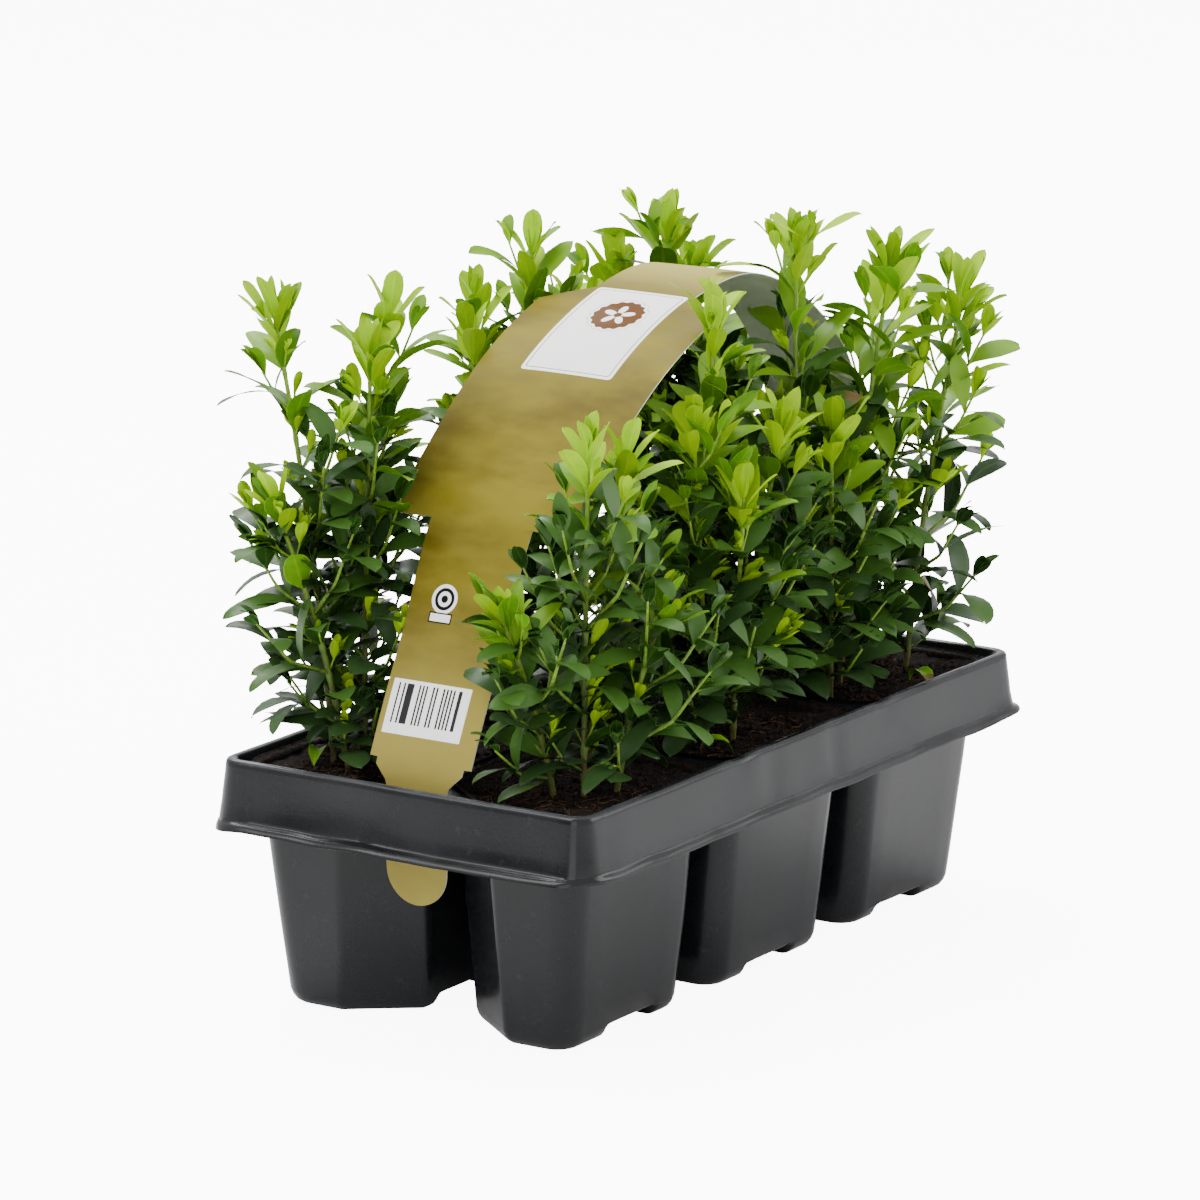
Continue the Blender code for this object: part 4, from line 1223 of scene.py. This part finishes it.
def leaf_patterns():
    """Flat blades, one for each outline: place along and across, share across and UV."""
    patterns = []
    for width, widest, fullness, bluntness in LEAF_OUTLINES:
        deselect()
        bpy.ops.mesh.primitive_grid_add(x_subdivisions=len(LEAF_ROWS) - 1,
                                        y_subdivisions=len(LEAF_COLUMNS) - 1, size=2)
        blade = bpy.context.object
        places = []
        for vert in blade.data.vertices:
            row = round((vert.co.x + 1) / 2 * (len(LEAF_ROWS) - 1))
            column = round((vert.co.y + 1) / 2 * (len(LEAF_COLUMNS) - 1))
            along, across = LEAF_ROWS[row], LEAF_COLUMNS[column]
            half = width / 2 * outline_share(along, widest, fullness, bluntness)
            places.append((along - 0.02 * across ** 2 * along ** 6, across * half, across))
        faces = np.array([face.vertices[:] for face in blade.data.polygons])
        patterns.append(places)
        bpy.data.objects.remove(blade, do_unlink=True)
    return np.array(patterns), faces


def outline_share(along, widest, fullness, bluntness):
    """Half width of a leaf, from its stalk to its blunt tip, as a share of the widest."""
    if along < widest:
        share = math.sin(math.pi / 2 * along / widest) ** (2 * fullness)
        return max(share, 0.09)
    beyond = (along - widest) / (1 - widest)
    return max((1 - beyond ** bluntness) ** 0.6, 0.08)


def leaf_piece(name, leaves, patterns, faces, material):
    """Leaves of one kind as one piece: the flat outlines bent, folded and put in place."""
    column = {key: np.array([leaf[i] for leaf in leaves]) for i, key in enumerate(
        ("root", "along", "side", "face", "length", "outline", "rise", "bend", "fold", "tint"))}
    flat = patterns[column["outline"]]
    x, y, across = flat[..., 0], flat[..., 1], flat[..., 2]
    bend = np.maximum(column["bend"], 0.02)[:, None]
    rise = column["rise"][:, None]
    slope = rise - bend * x
    centre_x = (np.sin(rise) - np.sin(slope)) / bend
    centre_z = (np.cos(slope) - np.cos(rise)) / bend
    cup = column["fold"][:, None] * np.abs(y) - 1.1 * y * y * (1 - column["fold"][:, None])
    ripple = 0.02 * across * np.sin(7 * x + 20 * column["tint"][:, None]) * x
    lift = cup + ripple
    local = np.stack([centre_x - lift * np.sin(slope), y, centre_z + lift * np.cos(slope)], axis=-1)
    axes = np.stack([column["along"], column["side"], column["face"]], axis=1)
    places = np.einsum("lnk,lkj->lnj", local, axes) * column["length"][:, None, None]
    places += column["root"][:, None, :]
    count = places.shape[1]
    corners = faces[None] + (np.arange(len(leaves)) * count)[:, None, None]
    uv = np.stack([x, across / 2 + 0.5], axis=-1).reshape(-1, 2)
    piece = joined_mesh(name, places.reshape(-1, 3), corners.reshape(-1, 4), material, uv)
    tint = piece.data.attributes.new("tint", "FLOAT", "POINT")
    tint.data.foreach_set("value", np.repeat(column["tint"], count).astype(np.float32))
    return piece


def grow_plants(band, materials):
    """Every plant, joined kind by kind."""
    band_tree = BVHTree.FromObject(band, bpy.context.evaluated_depsgraph_get())
    patterns, faces = leaf_patterns()
    for name, shoots in SHOOTS.items():
        plant = Plant(name, band_tree, random.Random(f"{name} box"))
        for foot, tip, fresh in shoots:
            plant.grow_shoot(foot, tip, fresh)
        first = shoots[0][0]
        for x, y, turn in FALLEN_LEAVES:
            if max(abs(x - first[0]), abs(y - first[1])) < CELL_PITCH / MM / 2:
                plant.drop_leaf(Vector((x * MM, y * MM, soil_height(x * MM, y * MM) + MM)), turn)
        numbers = range(1, len(shoots) + 1)
        masses = [f"foliage_{name}_{number}" for number in numbers]
        stems = tube_piece(f"stems_{name}", plant.stems, STEM_SIDES, materials["stem"], 0.05)
        finish(stems, "stem", *[f"stem_{name}_{number}" for number in numbers])
        twigs = tube_piece(f"twigs_{name}", plant.twigs, TWIG_SIDES, materials["twig"],
                           ages=plant.twig_ages)
        finish(twigs, "stem", *masses)
        for kind, leaves in plant.leaves.items():
            piece = leaf_piece(f"leaves_{kind}_{name}", leaves, patterns, faces, materials[kind])
            finish(piece, "leaf", *masses)


# ---------------------------------------------------------------- materials

def plastic_material(patches, specks):
    """Formed black sheet: cloudy gloss, a fine grain, scuffs, a few light specks and a painted
    highlight along the rim's top.
    """
    material, tree, shader = new_material("black_sheet", ior=1.5, specular_ior_level=0.30)
    place = object_place(tree)
    cloud = use_group(tree, patches, {"Vector": place, "Scale": 28.0, "Low": 0.3, "High": 0.7})
    scuff = use_group(tree, patches, {"Vector": place, "Scale": 260.0, "Detail": 8.0, "Low": 0.6,
                                      "High": 0.8})
    dust = use_group(tree, specks, {"Vector": place, "Scale": 150.0, "Size": 0.05, "Share": 0.02})
    # Painted highlight: a pale, patchy line along the rim's top, where the gloss catches the light.
    painted_highlight = spread(tree, separate(tree, place, 2), *RIM_PAINTED_HIGHLIGHT, 0, 0.5)
    colour = lay(tree, rgb("121315"), "18191c", cloud)
    colour = lay(tree, colour, "36383c", scuff, 0.35)
    colour = lay(tree, colour, "6a6c70", painted_highlight, cloud)
    colour = lay(tree, colour, "b8b6ae", dust)
    roughness = spread(tree, cloud, 0, 1, 0.15, 0.27)
    set_inputs(tree, shader, {"Base Color": colour, "Roughness": roughness})
    grain = add_node(tree, "TexNoise", {"Vector": place, "Scale": 900.0, "Detail": 3.0})
    soft = add_node(tree, "TexNoise", {"Vector": place, "Scale": 90.0, "Detail": 2.0})
    grained = calculate(tree, "MULTIPLY_ADD", soft.outputs["Fac"], 1.2, grain.outputs["Fac"])
    relief(tree, shader, grained, 0.00004, 0.5)
    return material


def cut_edge_material(patches):
    """The sheet's cut edge, paler where the knife bruised it."""
    material, tree, shader = new_material("cut_edge", roughness=0.5)
    cloud = use_group(tree, patches, {"Vector": object_place(tree), "Scale": 120.0})
    set_inputs(tree, shader, {"Base Color": lay(tree, rgb("4a4844"), "8d8a82", cloud)})
    return material


def compost_material(patches, specks, name, dark, light):
    """Peat: dark crumbs with paler fibres and small light bits."""
    material, tree, shader = new_material(name, roughness=0.92, specular_ior_level=0.2)
    place = object_place(tree)
    crumb = use_group(tree, patches, {"Vector": place, "Scale": 420.0, "Detail": 6.0})
    wide = use_group(tree, patches, {"Vector": place, "Scale": 60.0})
    bits = use_group(tree, specks, {"Vector": place, "Scale": 420.0, "Size": 0.2, "Share": 0.04})
    colour = lay(tree, rgb(dark), light, crumb)
    colour = lay(tree, colour, "0b0705", wide, 0.5)
    set_inputs(tree, shader, {"Base Color": lay(tree, colour, "6b5a44", bits)})
    relief(tree, shader, crumb, 0.0006, 0.9)
    return material


def leaf_material(patches, name, blade, vein, margin, under, gloss, shine):
    """Leaf skin: a pale midrib and margin, faint side veins, uneven tint, a paler underside."""
    material, tree, shader = new_material(f"leaf_{name}", ior=1.45, specular_ior_level=shine)
    surface = add_node(tree, "TexCoord")
    along, across = (separate(tree, surface.outputs["UV"], axis) for axis in (0, 1))
    from_rib = calculate(tree, "ABSOLUTE", calculate(tree, "SUBTRACT", across, 0.5))
    rib = spread(tree, from_rib, 0.08, 0.02)
    edge = spread(tree, from_rib, 0.44, 0.49)
    slant = calculate(tree, "SUBTRACT", along, calculate(tree, "MULTIPLY", from_rib, 0.35))
    veins = calculate(tree, "SINE", calculate(tree, "MULTIPLY", slant, 62.0))
    side_veins = spread(tree, veins, 0.72, 1.0)
    cloud = use_group(tree, patches, {"Vector": surface.outputs["Object"], "Scale": 160.0})
    tint = add_node(tree, "Attribute", attribute_name="tint").outputs["Fac"]
    lighter = spread(tree, tint, 0, 1, 0.72, 1.32)
    colour = lay(tree, rgb(blade), vein, cloud, 0.4)
    colour = lay(tree, colour, vein, side_veins, 0.22)
    colour = lay(tree, colour, vein, rib, 0.75)
    colour = lay(tree, colour, margin, edge, 0.8)
    colour = add_node(tree, "VectorMath", {0: colour, "Scale": lighter}, operation="SCALE").outputs[0]
    colour = lay(tree, colour, under, add_node(tree, "NewGeometry").outputs["Backfacing"])
    ragged = calculate(tree, "MULTIPLY_ADD", cloud, 0.12, along)
    damaged = calculate(tree, "GREATER_THAN", tint, DAMAGED)
    colour = lay(tree, colour, "6e5a38", spread(tree, ragged, 0.80, 0.86), damaged)
    roughness = spread(tree, cloud, 0, 1, gloss, gloss + 0.12)
    set_inputs(tree, shader, {"Base Color": colour, "Roughness": roughness})
    height = calculate(tree, "MULTIPLY_ADD", side_veins, 0.35, rib)
    relief(tree, shader, height, 0.00012, -0.7)
    return material


def stem_material(patches, name, young, old, corky):
    """Bark: green towards the tip, brown and ridged towards the foot."""
    material, tree, shader = new_material(name, roughness=0.55)
    surface = add_node(tree, "TexCoord")
    streaks = add_node(tree, "Mapping", {"Vector": surface.outputs["Object"], "Scale": (1, 1, 0.15)})
    fibre = use_group(tree, patches, {"Vector": streaks.outputs[0], "Scale": 1400.0})
    spots = use_group(tree, patches, {"Vector": surface.outputs["Object"], "Scale": 300.0, "Low": 0.5})
    age = calculate(tree, "MULTIPLY_ADD", spots, -0.2, separate(tree, surface.outputs["UV"], 1))
    colour = lay(tree, rgb(old), young, spread(tree, age, 0.15, 0.9))
    colour = lay(tree, colour, corky, fibre, 0.35)
    colour = lay(tree, colour, corky, spread(tree, age, 0.10, -0.12))
    set_inputs(tree, shader, {"Base Color": colour})
    relief(tree, shader, fibre, 0.0003, 0.7)
    return material


def box_distance(tree, place, centre, half, radius):
    """Signed distance to a rounded rectangle, negative inside, in metres."""
    away = place_maths(tree, "SUBTRACT", place, (*centre, 0))[0]
    away = place_maths(tree, "ABSOLUTE", away)[0]
    away = place_maths(tree, "SUBTRACT", away, (half[0] - radius, half[1] - radius, 0))[0]
    away = place_maths(tree, "MAXIMUM", away)[0]
    return calculate(tree, "SUBTRACT", place_maths(tree, "LENGTH", away)["Value"], radius)


def inside(tree, distance, depth=0.0):
    """Mask of what lies deeper in an outline than a depth, softly edged."""
    return spread(tree, calculate(tree, "ADD", distance, depth), PRINT_BLUR, -PRINT_BLUR)


def line_mask(tree, distance, middle, half):
    """A line that follows an outline at a distance."""
    away = calculate(tree, "ABSOLUTE", calculate(tree, "SUBTRACT", distance, middle))
    return inside(tree, calculate(tree, "SUBTRACT", away, half))


def paint_box(tree, place, colour, ink, centre, half, radius):
    """Print a rounded rectangle in one ink."""
    return lay(tree, colour, ink, inside(tree, box_distance(tree, place, centre, half, radius)))


def middle_and_half(start, end):
    return (start + end) / 2, (end - start) / 2


def band_print_material(shape, patches):
    """Gold print with soft streaks, a white panel with a seal, a stamp and a patch of bars; painted
    light makes the near foot paler towards the bottom and a painted sheen pales the crest.
    """
    material, tree, shader = new_material("band_print", ior=1.5, specular_ior_level=0.05)
    place = add_node(tree, "TexCoord").outputs["UV"]
    stretched = add_node(tree, "Mapping", {"Vector": place, "Scale": (1, 0.45, 1)}).outputs[0]
    wide = use_group(tree, patches, {"Vector": stretched, "Scale": 26.0, "Detail": 3.0, "Low": 0.36,
                                     "High": 0.64})
    fine = use_group(tree, patches, {"Vector": stretched, "Scale": 95.0, "Detail": 5.0})
    colour = lay(tree, rgb("5c5010"), "7c7020", wide)
    colour = lay(tree, colour, "928838", fine, 0.3)
    length = separate(tree, place, 0)
    # Painted light: the near foot, which the lamps light less, is painted paler towards the bottom.
    foot = [shape.length_at_height(height) for height in FOOT_PAINTED_LIGHT]
    colour = lay(tree, colour, "a09250", spread(tree, length, *foot, 0.0, 0.6))
    # Painted sheen: the crest, lit from above, is painted paler between these X.
    rise, fall = ([shape.length_at_x(x) for x in ends] for ends in (CREST_SHEEN_RISE, CREST_SHEEN_FALL))
    colour = lay(tree, colour, "b4a85a", spread(tree, length, *rise, 0.0, 0.8),
                 spread(tree, length, *fall))
    for paint in (paint_panel, paint_seal, paint_stamp, paint_bars):
        colour = paint(tree, place, shape, colour)
    roughness = spread(tree, fine, 0, 1, 0.42, 0.55)
    set_inputs(tree, shader, {"Base Color": colour, "Roughness": roughness})
    relief(tree, shader, fine, 0.00006, 0.5)
    return material


def panel_ends(shape):
    return [shape.length_at_x(x) for x in PANEL_X]


def paint_panel(tree, place, shape, colour):
    """A white panel with a fine border line."""
    middle, half = middle_and_half(*panel_ends(shape))
    colour = paint_box(tree, place, colour, WHITE, (middle, 0), (half, PANEL_HALF), 1.5 * MM)
    border = (half - PANEL_LINE, PANEL_HALF - PANEL_LINE)
    line = line_mask(tree, box_distance(tree, place, (middle, 0), border, 0.8 * MM), 0.0, 0.17 * MM)
    return lay(tree, colour, "6a6258", line)


def paint_seal(tree, place, shape, colour):
    """A round seal with a scalloped edge, an outline and a plain rosette."""
    centre = (mix(*panel_ends(shape), SEAL_SHARE), SEAL_SHIFT, 0)
    away = place_maths(tree, "SUBTRACT", place, centre)[0]
    radius = place_maths(tree, "LENGTH", away)["Value"]
    turn = calculate(tree, "ARCTAN2", separate(tree, away, 1), separate(tree, away, 0))
    scallop = calculate(tree, "COSINE", calculate(tree, "MULTIPLY", turn, SEAL_SCALLOPS))
    edge = calculate(tree, "MULTIPLY_ADD", scallop, -0.35 * MM, radius)
    disc = calculate(tree, "SUBTRACT", edge, SEAL_RADIUS)
    colour = lay(tree, colour, "b9b2a8", line_mask(tree, disc, 1.3 * MM, 0.14 * MM))
    colour = lay(tree, colour, BROWN, inside(tree, disc))
    petals = calculate(tree, "COSINE", calculate(tree, "MULTIPLY", turn, 2.5))
    reach = calculate(tree, "MULTIPLY", calculate(tree, "ABSOLUTE", petals), PETAL_REACH)
    petal = inside(tree, calculate(tree, "SUBTRACT", radius, reach))
    ring = calculate(tree, "GREATER_THAN", radius, PETAL_START)
    return lay(tree, colour, WHITE, petal, ring)


def paint_stamp(tree, place, shape, colour):
    """A round stamp of rings round a dot, and an empty plate under it."""
    along, across = shape.length_at_height(STAMP_HEIGHT), STAMP_SHIFT
    disc = box_distance(tree, place, (along, across), (STAMP_RADIUS, STAMP_RADIUS), STAMP_RADIUS)
    for depth, ink in STAMP_RINGS:
        colour = lay(tree, colour, ink, inside(tree, disc, depth))
    plate = (along - PLATE_DROP, across + PLATE_SHIFT)
    for ink, half, radius in PLATE_BOXES:
        colour = paint_box(tree, place, colour, ink, plate, half, radius)
    return colour


def paint_bars(tree, place, shape, colour):
    """A white patch with bars of random widths."""
    middle, half = middle_and_half(*[shape.length_at_height(height) for height in BARS_HEIGHTS])
    colour = paint_box(tree, place, colour, WHITE, (middle, BARS_SHIFT), (half, BARS_HALF), 0.3 * MM)
    across = separate(tree, place, 1)
    step = calculate(tree, "FLOOR", calculate(tree, "MULTIPLY", across, 1 / BAR_STEP))
    chance = add_node(tree, "TexWhiteNoise", {"W": step}, noise_dimensions="1D").outputs["Value"]
    odd = calculate(tree, "ABSOLUTE", calculate(tree, "MODULO", step, 2.0))
    needed = calculate(tree, "MULTIPLY_ADD", odd, 0.62, 0.18)
    field = box_distance(tree, place, (middle + BARS_OFFSET[0], BARS_SHIFT + BARS_OFFSET[1]),
                     (half - BARS_MARGIN[0], BARS_HALF - BARS_MARGIN[1]), 0.1 * MM)
    bars = calculate(tree, "GREATER_THAN", chance, needed)
    return lay(tree, colour, BLACK, bars, inside(tree, field))


def paper_material(patches, name, low, high, roughness):
    """Plain face of the strip: a faint fibre and uneven tone."""
    material, tree, shader = new_material(name, roughness=roughness)
    place = object_place(tree)
    cloud = use_group(tree, patches, {"Vector": place, "Scale": 60.0})
    fibre = use_group(tree, patches, {"Vector": place, "Scale": 900.0})
    set_inputs(tree, shader, {"Base Color": lay(tree, rgb(low), high, cloud)})
    relief(tree, shader, fibre, 0.00005, 0.5)
    return material


def make_materials(shape, patches, specks):
    made = {
        "tray": plastic_material(patches, specks),
        "cut_edge": cut_edge_material(patches),
        "compost": compost_material(patches, specks, "compost", "110b08", "261a13"),
        "crumb": compost_material(patches, specks, "compost_crumb", "1a110c", "3e2c20"),
        "fibre": compost_material(patches, specks, "compost_fibre", "3a281a", "7a5c40"),
        "band_print": band_print_material(shape, patches),
        "band_inside": paper_material(patches, "band_inside", "d4d6c4", "e2e3d6", 0.5),
        "band_edge": paper_material(patches, "band_edge", "dedcd4", "f0eee8", 0.6),
        "stem": stem_material(patches, "stem_bark", "7ea82a", "4a6a1e", "6a4e2c"),
        "twig": stem_material(patches, "twig_bark", "8cb82c", "44701c", "6a5a2c"),
    }
    for kind, skin in LEAF_SKINS.items():
        made[kind] = leaf_material(patches, kind, *skin)
    return made


# ---------------------------------------------------------------- stage

def soft_light(name, place, size, power):
    """A square soft box that points at the lit spot."""
    light = bpy.data.lights.new(name, "AREA")
    light.shape = "SQUARE"
    light.size = size
    light.energy = power
    box = bpy.data.objects.new(name, light)
    box.location = place
    box.rotation_euler = (Vector(LIT_SPOT) - Vector(place)).to_track_quat("-Z", "Y").to_euler()
    bpy.context.scene.collection.objects.link(box)


def set_surroundings():
    """White walls all round, with one dark gap between them that black gloss can mirror."""
    world = bpy.data.worlds.new("studio")
    world.use_nodes = True
    tree = world.node_tree
    background = tree.nodes["Background"]
    background.inputs["Color"].default_value = (1, 1, 1, 1)
    seen_way = add_node(tree, "TexCoord").outputs["Generated"]
    east, north, up = (separate(tree, seen_way, axis) for axis in range(3))
    heading = calculate(tree, "ARCTAN2", north, east)
    height = calculate(tree, "ABSOLUTE", up)
    begin, begun, ending, end = (math.radians(angle) for angle in GAP_HEADINGS)
    gap = calculate(tree, "MULTIPLY", spread(tree, heading, begin, begun),
                    spread(tree, heading, end, ending))
    low_gap = calculate(tree, "MULTIPLY", gap, spread(tree, height, *GAP_HEIGHTS))
    unseen = calculate(tree, "SUBTRACT", 1, add_node(tree, "LightPath").outputs["Is Camera Ray"])
    dark = calculate(tree, "MULTIPLY", low_gap, unseen)
    tree.links.new(spread(tree, dark, 0, 1, WALL_LIGHT, GAP_LIGHT), background.inputs["Strength"])
    bpy.context.scene.world = world


def set_stage(patches):
    """Pale floor, surroundings, soft boxes and the camera."""
    deselect()
    bpy.ops.mesh.primitive_plane_add(size=14)
    floor = bpy.context.object
    floor.name = "studio_floor"
    material, tree, shader = new_material("studio_floor", roughness=0.9, specular_ior_level=0.1)
    cloud = use_group(tree, patches, {"Vector": object_place(tree), "Scale": 3.0})
    seen = add_node(tree, "LightPath").outputs["Is Camera Ray"]
    set_inputs(tree, shader, {"Base Color": lay(tree, rgb("ececec"), "f0f0f0", cloud),
                              "Emission Color": (1, 1, 1, 1),
                              "Emission Strength": calculate(tree, "MULTIPLY", seen, FLOOR_GLOW)})
    floor.data.materials.append(material)
    set_surroundings()
    for name, light in SOFT_LIGHTS.items():
        soft_light(name, *light)
    camera = bpy.data.objects.new("camera", bpy.data.cameras.new("camera"))
    camera.location = CAMERA_PLACE
    camera.rotation_euler = (math.radians(90 - CAMERA_DROP), 0, math.radians(CAMERA_HEADING))
    camera.data.lens = CAMERA_LENS
    camera.data.sensor_width = 36
    camera.data.clip_end = 50
    bpy.context.scene.collection.objects.link(camera)
    bpy.context.scene.camera = camera


def main():
    shape = BandShape()
    patches = make_patches_group()
    materials = make_materials(shape, patches, make_specks_group())
    model_tray(materials)
    borders = [model_compost(name, column, row, materials["compost"]) for name, column, row in cells()]
    strew_crumbs(borders, materials["crumb"])
    strew_fibres(borders, materials["fibre"])
    band = model_band(shape, materials)
    grow_plants(band, materials)
    set_stage(patches)


main()
